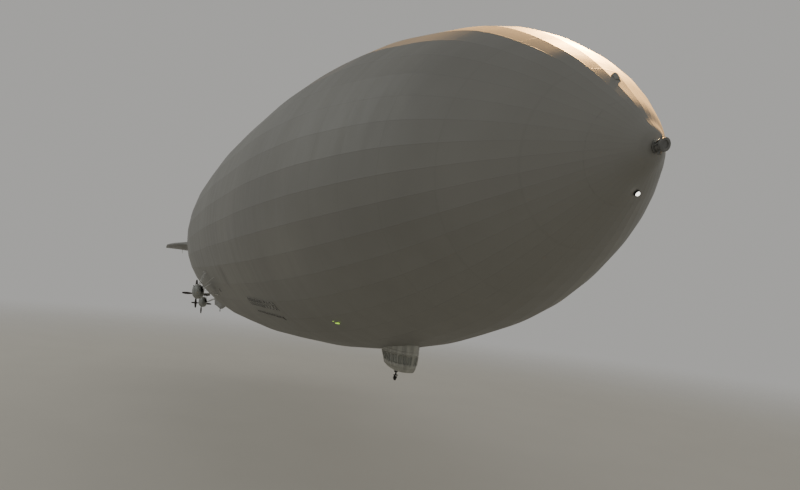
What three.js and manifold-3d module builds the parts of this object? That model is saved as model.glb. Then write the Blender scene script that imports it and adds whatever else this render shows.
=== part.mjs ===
// A rigid passenger airship of the 1930s, made as a model at one tenth of its size.
// +X points to the bow, +Y to port and +Z up. The origin is on the hull's axis, at the centre of its lift.
import * as THREE from 'three';
import Module from 'manifold-3d';
import { mergeVertices } from 'three/addons/utils/BufferGeometryUtils.js';

const wasm = await Module();
wasm.setup();

// Every size below is in metres of the full-size ship. The group at the end turns them into model
// millimetres.
const METRE = 100;
const SEAT_GAP = 0.3 / METRE;
const RUN_GAP = 6 / METRE;
const PIN_GAP = 0.45 / METRE;
const WALL = 10 / METRE;
const DEGREE = Math.PI / 180;

// The hull is a body of 36 flat sides, one of them along its keel. A station is the distance aft of its
// nose.
const HULL = { length: 245, sides: 36, liftStation: 106.5 };
const FRAMES = [
  { station: 0, radius: 0 },
  { station: 1.5, radius: 2.3 },
  { station: 4, radius: 4.85 },
  { station: 8, radius: 8.2 },
  { station: 15.5, radius: 12.45 },
  { station: 23, radius: 14.8 },
  { station: 30.5, radius: 16.55 },
  { station: 45.5, radius: 18.55 },
  { station: 60.5, radius: 19.5 },
  { station: 77, radius: 20.3 },
  { station: 93.5, radius: 20.5 },
  { station: 110, radius: 20.55 },
  { station: 126.5, radius: 20.0 },
  { station: 141.5, radius: 19.15 },
  { station: 156.5, radius: 17.95 },
  { station: 171.5, radius: 16.15 },
  { station: 186.5, radius: 13.85 },
  { station: 200, radius: 11.3 },
  { station: 213, radius: 8.5 },
  { station: 223, radius: 6 },
  { station: 233.5, radius: 3.4 },
  { station: 245, radius: 0 },
];
const ENVELOPE_STATIONS = [
  2.4, 4.5, 7.5, 12, 18, 25.5, 35, 48, 66, 90, 112, 134, 155, 174, 190, 205, 219, 233.5,
];
const BOW_CAP_STATIONS = [0.03, 0.3, 0.9, 2.4 - SEAT_GAP];
const BOW_CAP_ROOM_STATIONS = [0.3, 0.9, 2.6];
const TAIL_CONE_STATIONS = [233.5 + SEAT_GAP, 239.5, 244.4];

const MOORING = {
  radius: 0.3, foot: 0.9, ahead: 0.62, flangeRadius: 0.42, flangeLength: 0.12, lugReach: 0.52, sides: 12,
};
const BOW_LAMP = { station: 1.7, angle: 18, radius: 0.17, length: 0.3 };
const SIDE_LIGHT = { station: 31.8, angle: 30.5, radius: 0.16, length: 0.4 };
const HOODS = { stations: [4.5, 47, 77, 107, 140, 173], length: 1.3, width: 1.0, height: 0.45 };

// The control car hangs below the bow. Its sections are teardrops, named by height above its bottom.
const CAR = { front: 28.2, length: 9.1, halfWidth: 1.6, depth: 2.5, deck: 0.42, sides: 18 };
const CAR_SECTIONS = [
  { height: 0, width: 0.6, nose: 0.98, tail: 4.65 },
  { height: 0.12, width: 0.69, nose: 0.32, tail: 2.62 },
  { height: 0.5, width: 0.84, nose: 0.15, tail: 1.53 },
  { height: 1.0, width: 0.93, nose: 0.06, tail: 1.16 },
  { height: 2.2, width: 1.0, nose: 0, tail: 0.2 },
  { height: 5.2, width: 1.0, nose: 0, tail: 0.1 },
];
const WINDOW = { sill: 1.02, head: 1.98, frontAngles: [-66, -40, -13.5, 13.5, 40, 66], sideCount: 5 };
const PANE = 0.03;
const HANDWHEEL_HEIGHT = 0.9;

// The four engine cars stand off the hull in two pairs. The middle of a car is placed by its reach from the
// hull's axis and its angle below the horizontal. Its shaft runs lower than that.
const ENGINE_ROWS = [
  { name: 'forward', station: 93.5, reach: 23.8, angle: 35.8 },
  { name: 'aft', station: 141.5, reach: 22.6, angle: 53.35 },
];
const SIDES = [
  { name: 'starboard', sign: -1 },
  { name: 'port', sign: 1 },
];
const SHAFT_DROP = 0.6;
const NACELLE_SECTIONS = [
  { along: 2.85, halfWidth: 0.42, halfHeight: 0.52, drop: 0.06 },
  { along: 2.5, halfWidth: 0.76, halfHeight: 0.94, drop: 0.03 },
  { along: 1.8, halfWidth: 1.03, halfHeight: 1.3, drop: 0 },
  { along: 0.6, halfWidth: 1.18, halfHeight: 1.5, drop: 0 },
  { along: -0.6, halfWidth: 1.15, halfHeight: 1.44, drop: 0.03 },
  { along: -1.7, halfWidth: 0.96, halfHeight: 1.1, drop: 0.19 },
  { along: -2.6, halfWidth: 0.64, halfHeight: 0.68, drop: 0.42 },
  { along: -3.15, halfWidth: 0.36, halfHeight: 0.36, drop: SHAFT_DROP },
];
const NACELLE_SIDES = 12;
const ENGINE = { length: 2.69, width: 1.0, height: 1.35, centre: -0.1, bearer: 0.16, shaft: 0.12 };
const INTAKE = { back: 1.6, inner: 0.35, low: 0.1, size: 1.5 };
const PROPELLER = { blades: 4, plane: -3.55, hubRadius: 0.3, hubFront: -3.22, hubBack: -3.85, tip: -4.2 };
const BLADE_SECTIONS = [
  { reach: 0.15, chord: 0.3, thickness: 0.2, pitch: 62 },
  { reach: 0.8, chord: 0.42, thickness: 0.14, pitch: 50 },
  { reach: 1.8, chord: 0.6, thickness: 0.09, pitch: 32 },
  { reach: 2.7, chord: 0.44, thickness: 0.05, pitch: 22 },
  { reach: 3.1, chord: 0.16, thickness: 0.02, pitch: 20 },
];
const STRUT = { chord: 0.32, thickness: 0.16, spread: 8.5, foot: 0.75, frames: [1.25, -1.25] };
const GANGWAY = { width: 0.5, thickness: 0.08, steps: 4 };

// The four fins are alike. A reach is measured out from the hull's axis.
const HINGE_STATION = 213;
const FIN_SECTIONS = [
  { reach: 4, leading: 174, halfThickness: 1.8 },
  { reach: 15.5, leading: 176, halfThickness: 1.5 },
  { reach: 17.8, leading: 180.5, halfThickness: 1.2 },
  { reach: 20.6, leading: 187, halfThickness: 0.85 },
  { reach: 22, leading: 193.5, halfThickness: 0.6 },
  { reach: 22.9, leading: 199.5, halfThickness: 0.4 },
];
const FIN_OUTLINE = [
  { along: 0.03, thickness: 0.4 },
  { along: 0.14, thickness: 0.75 },
  { along: 0.42, thickness: 1 },
  { along: 1, thickness: 0.5 },
];
const NOSE_SHARE = 0.46;

// A rudder or elevator is cut back at its inner corner, where it would meet its neighbour with both swung
// over.
const FLAP_SECTIONS = [
  { reach: 3, chord: 8 },
  { reach: 6.2, chord: 15.7 },
  { reach: 10, chord: 15.4 },
  { reach: 17, chord: 14.4 },
  { reach: 20.8, chord: 13.4 },
  { reach: 22.6, chord: 12 },
];
const FLAP_INNER_GAP = 0.3;
const FLAP_NOSE = 0.6;
const HINGES = { reaches: [11.2, 19.2], height: 0.24, width: 0.24, end: 0.2, slotEnd: 0.36 };
const HINGE_PIN = { radius: 0.1, length: 0.9 };
const PIN_SIDES = 12;
const HORN = { reach: 16.2, length: 0.9, height: 0.95, thickness: 0.1 };

// Both landing wheels are castors: one under the control car, one under the lower fin. A boot covers the
// top of each leg.
const GEAR = {
  leg: 0.72, legRadius: 0.12, boot: 0.38, bootRadius: 0.25, yoke: 0.08, armInner: 0.17, armThickness: 0.06,
  trail: 0.12,
};
const WHEEL = { radius: 0.3, width: 0.2, hubRadius: 0.15, axle: 0.05, sides: 12 };
const CAR_GEAR_STATION = 32.25;
const TAIL_GEAR_STATION = 205;

const paint = (color, roughness, metalness = 0) => (
  new THREE.MeshStandardMaterial({ color, roughness, metalness }));
const FABRIC = paint(0x74736c, 0.6);
const CAR_METAL = paint(0x686862, 0.5, 0.3);
const DARK_METAL = paint(0x3b3a37, 0.45, 0.7);
const BRIGHT_METAL = paint(0xa8a7a0, 0.35, 0.8);
const WOOD = paint(0x3e352b, 0.45);
const FITTING_WOOD = paint(0x8a6a42, 0.55);
const TYRE_RUBBER = paint(0x1d1c1b, 0.85);
const CLEAR_PANE = paint(0x8fa3a8, 0.1);
const LAMP_GLASS = paint(0xf4efe2, 0.15);
const GREEN_GLASS = paint(0x58c24e, 0.15);
const RED_GLASS = paint(0xc23a30, 0.15);

const along = (station) => HULL.liftStation - station;

// The squared radius runs smoothly through the frames, which keeps the nose round.
function hullRadius(station) {
  const high = Math.max(1, FRAMES.findIndex((frame) => frame.station >= station));
  const low = high - 1;
  const span = FRAMES[high].station - FRAMES[low].station;
  const share = (station - FRAMES[low].station) / span;
  const area = (index) => FRAMES[index].radius ** 2;
  const slope = (index) => {
    const before = Math.max(0, index - 1);
    const after = Math.min(FRAMES.length - 1, index + 1);
    return (area(after) - area(before)) / (FRAMES[after].station - FRAMES[before].station);
  };
  const turnOver = 3 * share ** 2 - 2 * share ** 3;
  const squared = (1 - turnOver) * area(low) + turnOver * area(high)
    + (share ** 3 - 2 * share ** 2 + share) * span * slope(low)
    + (share ** 3 - share ** 2) * span * slope(high);
  return Math.sqrt(Math.max(0, squared));
}

// Joins rings that have the same number of points. Both ends are closed, or the last ring runs on to the
// first.
function loft(rings, isLoop = false) {
  const sides = rings[0].length;
  const bands = isLoop ? rings.length : rings.length - 1;
  const index = [];
  for (let band = 0; band < bands; band++) {
    const here = band * sides;
    const next = ((band + 1) % rings.length) * sides;
    for (let side = 0; side < sides; side++) {
      const beside = (side + 1) % sides;
      index.push(here + side, next + side, next + beside, here + side, next + beside, here + beside);
    }
  }
  if (!isLoop) {
    const last = (rings.length - 1) * sides;
    for (let side = 1; side < sides - 1; side++) {
      index.push(0, side, side + 1, last, last + side + 1, last + side);
    }
  }
  const points = rings.flat();
  const geometry = new THREE.BufferGeometry().setFromPoints(points);
  geometry.setIndex(signedVolume(points, index) < 0 ? index.reverse() : index);
  return geometry;
}

function signedVolume(points, index) {
  let volume = 0;
  for (let corner = 0; corner < index.length; corner += 3) {
    const [a, b, c] = [0, 1, 2].map((step) => points[index[corner + step]]);
    volume += a.dot(b.clone().cross(c));
  }
  return volume;
}

function toSolid(geometry) {
  const bare = geometry.clone();
  bare.deleteAttribute('normal');
  bare.deleteAttribute('uv');
  const merged = mergeVertices(bare, 1e-5);
  return new wasm.Manifold(new wasm.Mesh({
    numProp: 3,
    vertProperties: new Float32Array(merged.attributes.position.array),
    triVerts: new Uint32Array(merged.index.array),
  }));
}

function toGeometry(solid) {
  const mesh = solid.getMesh();
  const geometry = new THREE.BufferGeometry();
  geometry.setAttribute('position', new THREE.BufferAttribute(new Float32Array(mesh.vertProperties), 3));
  geometry.setIndex(new THREE.BufferAttribute(new Uint32Array(mesh.triVerts), 1));
  return geometry;
}

const join = (...geometries) => geometries.map(toSolid).reduce((sum, solid) => sum.add(solid));
const cut = (solid, ...tools) => tools.reduce((rest, tool) => rest.subtract(toSolid(tool)), solid);

const box = (sizeX, sizeY, sizeZ, x = 0, y = 0, z = 0) => (
  new THREE.BoxGeometry(sizeX, sizeY, sizeZ).translate(x, y, z));

// A round bar from one point to another, flattened to a streamlined section where a thickness is given.
function bar(from, to, width, sides = 8, thickness = width) {
  const run = to.clone().sub(from);
  const geometry = new THREE.CylinderGeometry(width / 2, width / 2, run.length(), sides, 1);
  geometry.scale(1, 1, thickness / width);
  const turn = new THREE.Matrix4();
  const forward = new THREE.Vector3(1, 0, 0);
  const up = run.clone().normalize();
  const across = new THREE.Vector3().crossVectors(forward, up).normalize();
  turn.makeBasis(new THREE.Vector3().crossVectors(up, across), up, across);
  geometry.applyMatrix4(turn);
  const middle = from.clone().lerp(to, 0.5);
  return geometry.translate(middle.x, middle.y, middle.z);
}

// A solid turned about the X axis, from pairs of a distance along it and a radius.
function turned(profile, sides) {
  const points = profile.map(([distance, radius]) => new THREE.Vector2(radius, distance));
  return new THREE.LatheGeometry(points, sides).rotateZ(-Math.PI / 2);
}

const ship = new THREE.Group();
ship.scale.setScalar(METRE);

function addPiece(name, shape, material, parent = ship) {
  const geometry = shape.isBufferGeometry ? shape : toGeometry(shape);
  const mesh = new THREE.Mesh(geometry, material);
  mesh.name = name;
  parent.add(mesh);
  return mesh;
}

function addGroup(x, y, z, parent = ship) {
  const group = new THREE.Group();
  group.position.set(x, y, z);
  parent.add(group);
  return group;
}

function hullRing(station, radius) {
  return Array.from({ length: HULL.sides }, (_, side) => {
    const angle = ((side + 0.5) / HULL.sides) * 2 * Math.PI;
    return new THREE.Vector3(along(station), radius * Math.sin(angle), -radius * Math.cos(angle));
  });
}

// The hull as a full body, swollen or shrunk by a margin, to cut what stands on it.
function hullBody(margin) {
  const stations = [...BOW_CAP_STATIONS, ...ENVELOPE_STATIONS, ...TAIL_CONE_STATIONS];
  return loft(stations.map((station) => hullRing(station, hullRadius(station) + margin)));
}

// The distance from the axis to the flat along the hull's back, which runs straight between its rings.
function backHeight(station) {
  const high = ENVELOPE_STATIONS.findIndex((ring) => ring > station);
  const [start, end] = [ENVELOPE_STATIONS[high - 1], ENVELOPE_STATIONS[high]];
  const share = (station - start) / (end - start);
  return (hullRadius(start) * (1 - share) + hullRadius(end) * share) * Math.cos(Math.PI / HULL.sides);
}

// A wall of the hull between two stations, open at both ends.
function hullWall(stations) {
  const outer = stations.map((station) => hullRing(station, hullRadius(station)));
  const inner = stations.map((station) => hullRing(station, hullRadius(station) - WALL));
  return loft([...outer, ...inner.reverse()], true);
}

function makeHull() {
  let envelope = toSolid(hullWall(ENVELOPE_STATIONS));
  for (const station of HOODS.stations) {
    const lean = Math.atan2(backHeight(station + 1) - backHeight(station - 1), 2);
    const hood = box(HOODS.length, HOODS.width, HOODS.height + WALL, 0, 0, HOODS.height / 2 - WALL / 4);
    hood.rotateY(lean).translate(along(station), 0, backHeight(station));
    envelope = envelope.add(toSolid(hood));
  }
  addPiece('hull_envelope', envelope, FABRIC);

  const capWall = loft(BOW_CAP_STATIONS.map((station) => hullRing(station, hullRadius(station))));
  const capRoom = loft(BOW_CAP_ROOM_STATIONS.map((station) => (
    hullRing(station, hullRadius(station) - WALL))));
  const holeRadius = MOORING.radius + SEAT_GAP;
  const spindleHole = turned([[-2, 0], [-2, holeRadius], [2, holeRadius], [2, 0]], MOORING.sides);
  addPiece('bow_cap', cut(toSolid(capWall), capRoom, spindleHole.translate(along(0), 0, 0)), FABRIC);

  const coneRing = (station, inset) => hullRing(station, hullRadius(station) - inset);
  const outer = TAIL_CONE_STATIONS.map((station) => coneRing(station, 0));
  const inner = TAIL_CONE_STATIONS.slice(0, -1).map((station) => coneRing(station, WALL));
  addPiece('tail_cone', loft([...outer.reverse(), ...inner]), FABRIC);
}

// The mooring spindle stands out of the bow cap, with a flange and a lug above and below it.
function makeMooring() {
  const flangeBack = MOORING.ahead - MOORING.flangeLength;
  const spindle = turned([
    [-MOORING.foot, 0], [-MOORING.foot, MOORING.radius], [flangeBack, MOORING.radius],
    [flangeBack, MOORING.flangeRadius], [MOORING.ahead, MOORING.flangeRadius], [MOORING.ahead, 0],
  ], MOORING.sides);
  let fitting = toSolid(spindle);
  for (const sign of [-1, 1]) {
    const lug = box(0.2, 0.14, 0.24, MOORING.ahead - 0.32, 0, sign * (MOORING.lugReach - 0.12));
    fitting = fitting.add(toSolid(lug));
  }
  addPiece('mooring_spindle', fitting, DARK_METAL).position.set(along(0), 0, 0);
}

// A lamp stands square on the hull, with its foot shaped to it. Its angle runs from the keel, and its sign
// is 1 to port.
function lampOnHull(lamp, sign) {
  const angle = sign * lamp.angle * DEGREE;
  const slope = hullRadius(lamp.station + 0.5) - hullRadius(lamp.station - 0.5);
  const foot = new THREE.Vector3(0, Math.sin(angle), -Math.cos(angle));
  const out = foot.clone().setX(slope).normalize();
  foot.multiplyScalar(hullRadius(lamp.station)).setX(along(lamp.station));
  const [root, end] = [-0.4, lamp.length].map((step) => foot.clone().addScaledVector(out, step));
  return cut(toSolid(bar(root, end, lamp.radius * 2, 12)), hullBody(SEAT_GAP));
}

function makeLights() {
  addPiece('bow_lamp', lampOnHull(BOW_LAMP, 1), LAMP_GLASS);
  for (const side of SIDES) {
    const glass = side.name === 'port' ? RED_GLASS : GREEN_GLASS;
    addPiece(`side_light_${side.name}`, lampOnHull(SIDE_LIGHT, side.sign), glass);
  }
}

const carBottom = -(hullRadius(CAR.front + CAR.length / 2) + CAR.depth);

// A teardrop around the car at one height, drawn in by an inset. Its round end is the front.
function carRing(height, inset) {
  const above = CAR_SECTIONS.findIndex((section) => section.height >= height);
  const high = CAR_SECTIONS[Math.max(1, above)];
  const low = CAR_SECTIONS[Math.max(1, above) - 1];
  const share = (height - low.height) / (high.height - low.height);
  const mix = (key) => low[key] + share * (high[key] - low[key]);
  const front = CAR.front + mix('nose') + inset;
  const back = CAR.front + CAR.length - mix('tail') - 3 * inset;
  const halfWidth = CAR.halfWidth * mix('width') - inset;
  return Array.from({ length: CAR.sides }, (_, side) => {
    const turn = (side / CAR.sides) * 2 * Math.PI;
    const run = (1 - Math.cos(turn)) / 2;
    const width = halfWidth * Math.sign(Math.sin(turn)) * Math.abs(Math.sin(turn)) ** 0.8;
    const taper = run < 0.3 ? 1 : 1 - 0.55 * ((run - 0.3) / 0.7) ** 1.4;
    return new THREE.Vector3(along(front + (back - front) * run), width * taper, carBottom + height);
  });
}

const carBody = (heights, inset) => loft(heights.map((height) => carRing(height, inset)));

function windowCutters() {
  const middle = (WINDOW.sill + WINDOW.head) / 2;
  const tall = WINDOW.head - WINDOW.sill;
  const cutters = [];
  for (const angle of WINDOW.frontAngles) {
    const cutter = box(0.9, 0.5, tall, 1.3, 0, 0).rotateZ(angle * DEGREE);
    cutters.push(cutter.translate(along(CAR.front + 1.45), 0, carBottom + middle));
  }
  for (const sign of [-1, 1]) {
    for (let window = 0; window < WINDOW.sideCount; window++) {
      const x = along(CAR.front + 2.15 + window);
      cutters.push(box(0.88, 1.1, tall, x, sign * 1.3, carBottom + middle));
    }
  }
  return cutters;
}

// The room inside the car stands on its second section and is drawn in from the outer face by an inset.
const carRoom = (inset) => carBody(CAR_SECTIONS.slice(1).map((section) => section.height), inset);

// A level slab through the car, between two heights above its bottom.
const carMiddle = along(CAR.front + CAR.length / 2);
const carSlab = (low, high) => toSolid(
  box(2 * CAR.length, 4 * CAR.halfWidth, high - low, carMiddle, 0, carBottom + (low + high) / 2));

function makeControlCar() {
  const heights = CAR_SECTIONS.map((section) => section.height);
  const shell = cut(toSolid(carBody(heights, 0)), carRoom(WALL), hullBody(SEAT_GAP), ...windowCutters());
  addPiece('control_car_shell', shell, CAR_METAL);

  const seat = WALL + SEAT_GAP;
  const band = carSlab(WINDOW.sill - 0.12, WINDOW.head + 0.1).intersect(toSolid(carRoom(seat)));
  addPiece('control_car_glazing', cut(band, carRoom(seat + PANE), hullBody(SEAT_GAP)), CLEAR_PANE);

  const deck = carSlab(CAR.deck - 0.05, CAR.deck).intersect(toSolid(carRoom(seat)));
  addPiece('control_car_deck', deck, FITTING_WOOD);
  makeCarFittings();
}

// Inside the car stand a rudder wheel at the front, an elevator wheel at its side, a chart table and a
// ladder.
function makeCarFittings() {
  const deck = carBottom + CAR.deck + SEAT_GAP;
  const handwheel = () => {
    const spokes = [0, Math.PI / 2].map((angle) => box(0.64, 0.05, 0.05).rotateZ(angle));
    const rim = new THREE.TorusGeometry(0.34, 0.035, 6, 14);
    return [rim, ...spokes].map((piece) => piece.rotateY(Math.PI / 2));
  };
  const helm = handwheel().map((piece) => piece.translate(-0.36, 0, HANDWHEEL_HEIGHT));
  const binnacle = new THREE.CylinderGeometry(0.12, 0.12, 0.4, 8);
  binnacle.rotateX(Math.PI / 2).translate(0.14, 0, 0.82);
  const helmBody = [box(0.28, 0.28, 0.96, 0, 0, 0.48), box(0.3, 0.07, 0.07, -0.25, 0, HANDWHEEL_HEIGHT)];
  addPiece('rudder_wheel_stand', join(...helmBody, binnacle, ...helm), FITTING_WOOD)
    .position.set(along(CAR.front + 1.35), 0, deck);

  const sideWheel = handwheel().map((piece) => (
    piece.rotateZ(Math.PI / 2).translate(0, 0.22, HANDWHEEL_HEIGHT)));
  const sideBody = [box(0.28, 0.2, 1.3, 0, -0.05, 0.65), box(0.07, 0.3, 0.07, 0, 0.13, HANDWHEEL_HEIGHT)];
  addPiece('elevator_wheel_stand', join(...sideBody, ...sideWheel), FITTING_WOOD)
    .position.set(along(CAR.front + 2.55), 0.3, deck);

  const tableTop = box(0.8, 0.9, 0.06, 0, 0, 0.82);
  const tableChest = box(0.7, 0.7, 0.8, 0, 0, 0.4);
  addPiece('chart_table', join(tableTop, tableChest), FITTING_WOOD)
    .position.set(along(CAR.front + 4.15), 0.2, deck);

  const ladderStation = CAR.front + 5.6;
  const ladderHeight = -hullRadius(ladderStation) - deck - 2 * SEAT_GAP;
  const ladder = [-0.2, 0.2].map((y) => box(0.07, 0.06, ladderHeight, 0, y, ladderHeight / 2));
  for (let rung = 0.3; rung < ladderHeight; rung += 0.3) {
    ladder.push(box(0.05, 0.36, 0.05, 0, 0, rung));
  }
  addPiece('car_ladder', join(...ladder), BRIGHT_METAL).position.set(along(ladderStation), 0, deck);

  const wall = box(0.06, 3, 5, along(CAR.front + 3.4), 0, deck + 2.5);
  const doorway = box(0.4, 0.62, 1.9, along(CAR.front + 3.4), -0.35, deck + 0.95);
  const partition = toSolid(wall).intersect(toSolid(carRoom(WALL + PANE + 2 * SEAT_GAP)));
  addPiece('control_car_partition', cut(partition, doorway, hullBody(SEAT_GAP)), FITTING_WOOD);
}

// A slightly squared ring around an engine car, grown by a margin.
function nacelleRing(section, margin) {
  const squared = (share) => Math.sign(share) * Math.abs(share) ** 0.85;
  return Array.from({ length: NACELLE_SIDES }, (_, side) => {
    const turn = ((side + 0.5) / NACELLE_SIDES) * 2 * Math.PI;
    const width = (section.halfWidth + margin) * squared(Math.cos(turn));
    const height = (section.halfHeight + margin) * squared(Math.sin(turn));
    return new THREE.Vector3(section.along, width, height - section.drop);
  });
}

const nacelleBody = (margin) => loft(NACELLE_SECTIONS.map((section) => nacelleRing(section, margin)));

// The car's shell is closed in front and open behind for the shaft. Its air intake is cut through the upper
// corner of its nose on the hull's side.
function makeNacelle(side) {
  const room = NACELLE_SECTIONS.map((section) => nacelleRing(section, -WALL));
  room[0].forEach((point) => point.setX(point.x - WALL));
  const end = NACELLE_SECTIONS.at(-1);
  room.push(nacelleRing({ ...end, along: end.along - WALL }, -WALL));
  const half = INTAKE.size / 2;
  const intake = box(INTAKE.size, INTAKE.size, INTAKE.size,
    INTAKE.back + half, -side.sign * (INTAKE.inner + half), INTAKE.low + half);
  return cut(toSolid(nacelleBody(0)), loft(room), intake);
}

// The engine is one block on two bearers. The shaft that carries the propeller runs low in it.
function makeEngine() {
  const room = toSolid(nacelleBody(-WALL - SEAT_GAP));
  const blockMiddle = ENGINE.height / 2 - SHAFT_DROP - ENGINE.shaft - 0.03;
  const blockBottom = blockMiddle - ENGINE.height / 2;
  const bearers = [-1, 1].map((sign) => (
    box(1.9, ENGINE.bearer, 2, ENGINE.centre, sign * ENGINE.width * 0.36, blockBottom - 0.8)));
  const block = box(ENGINE.length, ENGINE.width, ENGINE.height, ENGINE.centre, 0, blockMiddle);
  const shaft = turned([
    [PROPELLER.hubBack + 0.2, 0], [PROPELLER.hubBack + 0.2, ENGINE.shaft],
    [ENGINE.centre, ENGINE.shaft], [ENGINE.centre, 0],
  ], 12).translate(0, 0, -SHAFT_DROP);
  return join(block, ...bearers).intersect(room).add(toSolid(shaft));
}

function bladeRing(section) {
  const half = section.chord / 2;
  const thick = section.thickness / 2;
  const outline = [
    [-half, 0], [-half * 0.4, thick], [half * 0.4, thick * 0.8], [half, 0], [half * 0.4, -thick],
    [-half * 0.4, -thick],
  ];
  const pitch = section.pitch * DEGREE;
  return outline.map(([chordwise, through]) => new THREE.Vector3(
    chordwise * Math.sin(pitch) + through * Math.cos(pitch),
    chordwise * Math.cos(pitch) - through * Math.sin(pitch),
    section.reach,
  ));
}

function makePropeller() {
  const middle = PROPELLER.plane;
  const hub = turned([
    [PROPELLER.tip - middle, 0], [PROPELLER.tip - middle + 0.1, 0.12],
    [PROPELLER.hubBack - middle, PROPELLER.hubRadius], [PROPELLER.hubFront - middle, PROPELLER.hubRadius],
    [PROPELLER.hubFront - middle, 0],
  ], 12);
  let solid = toSolid(hub);
  for (let blade = 0; blade < PROPELLER.blades; blade++) {
    const geometry = loft(BLADE_SECTIONS.map(bladeRing));
    solid = solid.add(toSolid(geometry.rotateX((blade / PROPELLER.blades) * 2 * Math.PI)));
  }
  const boreRadius = (ENGINE.shaft + PIN_GAP) / Math.cos(Math.PI / 12);
  const boreEnd = PROPELLER.hubBack + 0.2 - RUN_GAP - middle;
  return cut(solid, turned([[boreEnd, 0], [boreEnd, boreRadius], [1, boreRadius], [1, 0]], 12));
}

// Two pairs of struts and a gangway hold an engine car off the hull. A saddle on the car's inner side joins
// them.
function makeEngineMount(row, side, place) {
  const polar = (angle, reach, x) => new THREE.Vector3(
    x, side.sign * reach * Math.cos(angle * DEGREE), -reach * Math.sin(angle * DEGREE));
  const skinReach = hullRadius(row.station) - 0.6;
  const members = [];
  for (const frame of STRUT.frames) {
    for (const way of [-1, 1]) {
      const root = polar(row.angle + way * STRUT.spread, skinReach, place.x + frame * 1.15);
      const footAngle = row.angle + (way * STRUT.foot / row.reach) / DEGREE;
      const foot = polar(footAngle, row.reach - 0.4, place.x + frame);
      members.push(bar(root, foot, STRUT.chord, 6, STRUT.thickness));
    }
  }
  members.push(...gangway(row, side, place, skinReach));
  const saddle = toSolid(nacelleBody(0.09 + SEAT_GAP).translate(place.x, place.y, place.z));
  const inward = place.clone().setX(0).normalize();
  const keep = box(3, 3, 3);
  keep.applyMatrix4(new THREE.Matrix4().makeBasis(
    new THREE.Vector3(1, 0, 0), inward, new THREE.Vector3(1, 0, 0).cross(inward)));
  keep.translate(place.x, place.y - inward.y * 1.85, place.z - inward.z * 1.85);
  const joined = saddle.intersect(toSolid(keep)).add(join(...members));
  const nacelle = nacelleBody(SEAT_GAP).translate(place.x, place.y, place.z);
  return cut(joined, nacelle, hullBody(SEAT_GAP));
}

function gangway(row, side, place, skinReach) {
  const out = new THREE.Vector3(0, side.sign * Math.cos(row.angle * DEGREE), -Math.sin(row.angle * DEGREE));
  const point = (reach, x, rise) => out.clone().multiplyScalar(reach)
    .add(new THREE.Vector3(place.x + x, 0, rise));
  const inner = skinReach;
  const outer = row.reach - 0.5;
  const pieces = [-1, 1].map((sign) => {
    const x = sign * GANGWAY.width / 2;
    return bar(point(inner, x, 0), point(outer, x, 0), GANGWAY.thickness, 4);
  });
  for (let step = 1; step < GANGWAY.steps; step++) {
    const reach = inner + 0.7 + ((outer - inner - 1.2) * step) / GANGWAY.steps;
    pieces.push(box(GANGWAY.width, GANGWAY.thickness * 0.7, GANGWAY.thickness * 0.7)
      .translate(...point(reach, 0, 0).toArray()));
  }
  return pieces;
}

function makeEngineCars() {
  const engine = makeEngine();
  const propeller = makePropeller();
  for (const row of ENGINE_ROWS) {
    for (const side of SIDES) {
      const angle = row.angle * DEGREE;
      const y = side.sign * row.reach * Math.cos(angle);
      const place = new THREE.Vector3(along(row.station), y, -row.reach * Math.sin(angle));
      const label = `${row.name}_${side.name}`;
      const car = addGroup(place.x, place.y, place.z);
      addPiece(`engine_car_${label}`, makeNacelle(side), CAR_METAL, car);
      addPiece(`engine_${label}`, engine, DARK_METAL, car);
      addPiece(`propeller_${label}`, propeller, WOOD, car).position.set(PROPELLER.plane, 0, -SHAFT_DROP);
      addPiece(`engine_mount_${label}`, makeEngineMount(row, side, place), BRIGHT_METAL);
    }
  }
}

function halfThicknessAt(reach) {
  const high = Math.max(1, FIN_SECTIONS.findIndex((section) => section.reach >= reach));
  const [a, b] = [FIN_SECTIONS[high - 1], FIN_SECTIONS[high]];
  return a.halfThickness + ((reach - a.reach) / (b.reach - a.reach)) * (b.halfThickness - a.halfThickness);
}

const noseRadius = (reach) => halfThicknessAt(reach) * NOSE_SHARE;

// One chordwise section of a fin, drawn in by an inset. It stands on the hull's top side, out along +Z.
function finRing(section, inset) {
  const trailing = HINGE_STATION - noseRadius(section.reach) - RUN_GAP - inset;
  const leading = section.leading + 4 * inset;
  const half = Math.max(0.12, section.halfThickness - inset);
  const side = (sign) => FIN_OUTLINE.map((point) => new THREE.Vector3(
    along(leading + (trailing - leading) * point.along), sign * half * point.thickness, section.reach));
  return [new THREE.Vector3(along(leading), 0, section.reach), ...side(1), ...side(-1).reverse()];
}

function makeFin() {
  const outer = loft(FIN_SECTIONS.map((section) => finRing(section, 0)));
  const innerSections = FIN_SECTIONS.slice(0, -1).map((section) => ({ ...section }));
  innerSections[0].reach -= 1;
  const inner = loft(innerSections.map((section) => finRing(section, WALL)));
  const shell = cut(toSolid(outer), inner, hullBody(SEAT_GAP));
  const lugs = HINGES.reaches.map((reach) => {
    const root = HINGE_STATION - noseRadius(reach) - RUN_GAP - WALL / 2;
    const length = HINGE_STATION + HINGES.end - root;
    return join(
      box(length, HINGES.width, HINGES.height, along(root + length / 2), 0, reach),
      hingePin(HINGE_PIN.radius, HINGE_PIN.length, reach),
    );
  });
  return lugs.reduce((sum, lug) => sum.add(lug), shell);
}

const hingePin = (radius, length, reach) => (
  new THREE.CylinderGeometry(radius, radius, length, PIN_SIDES).rotateX(Math.PI / 2)
    .translate(along(HINGE_STATION), 0, reach));

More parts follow.
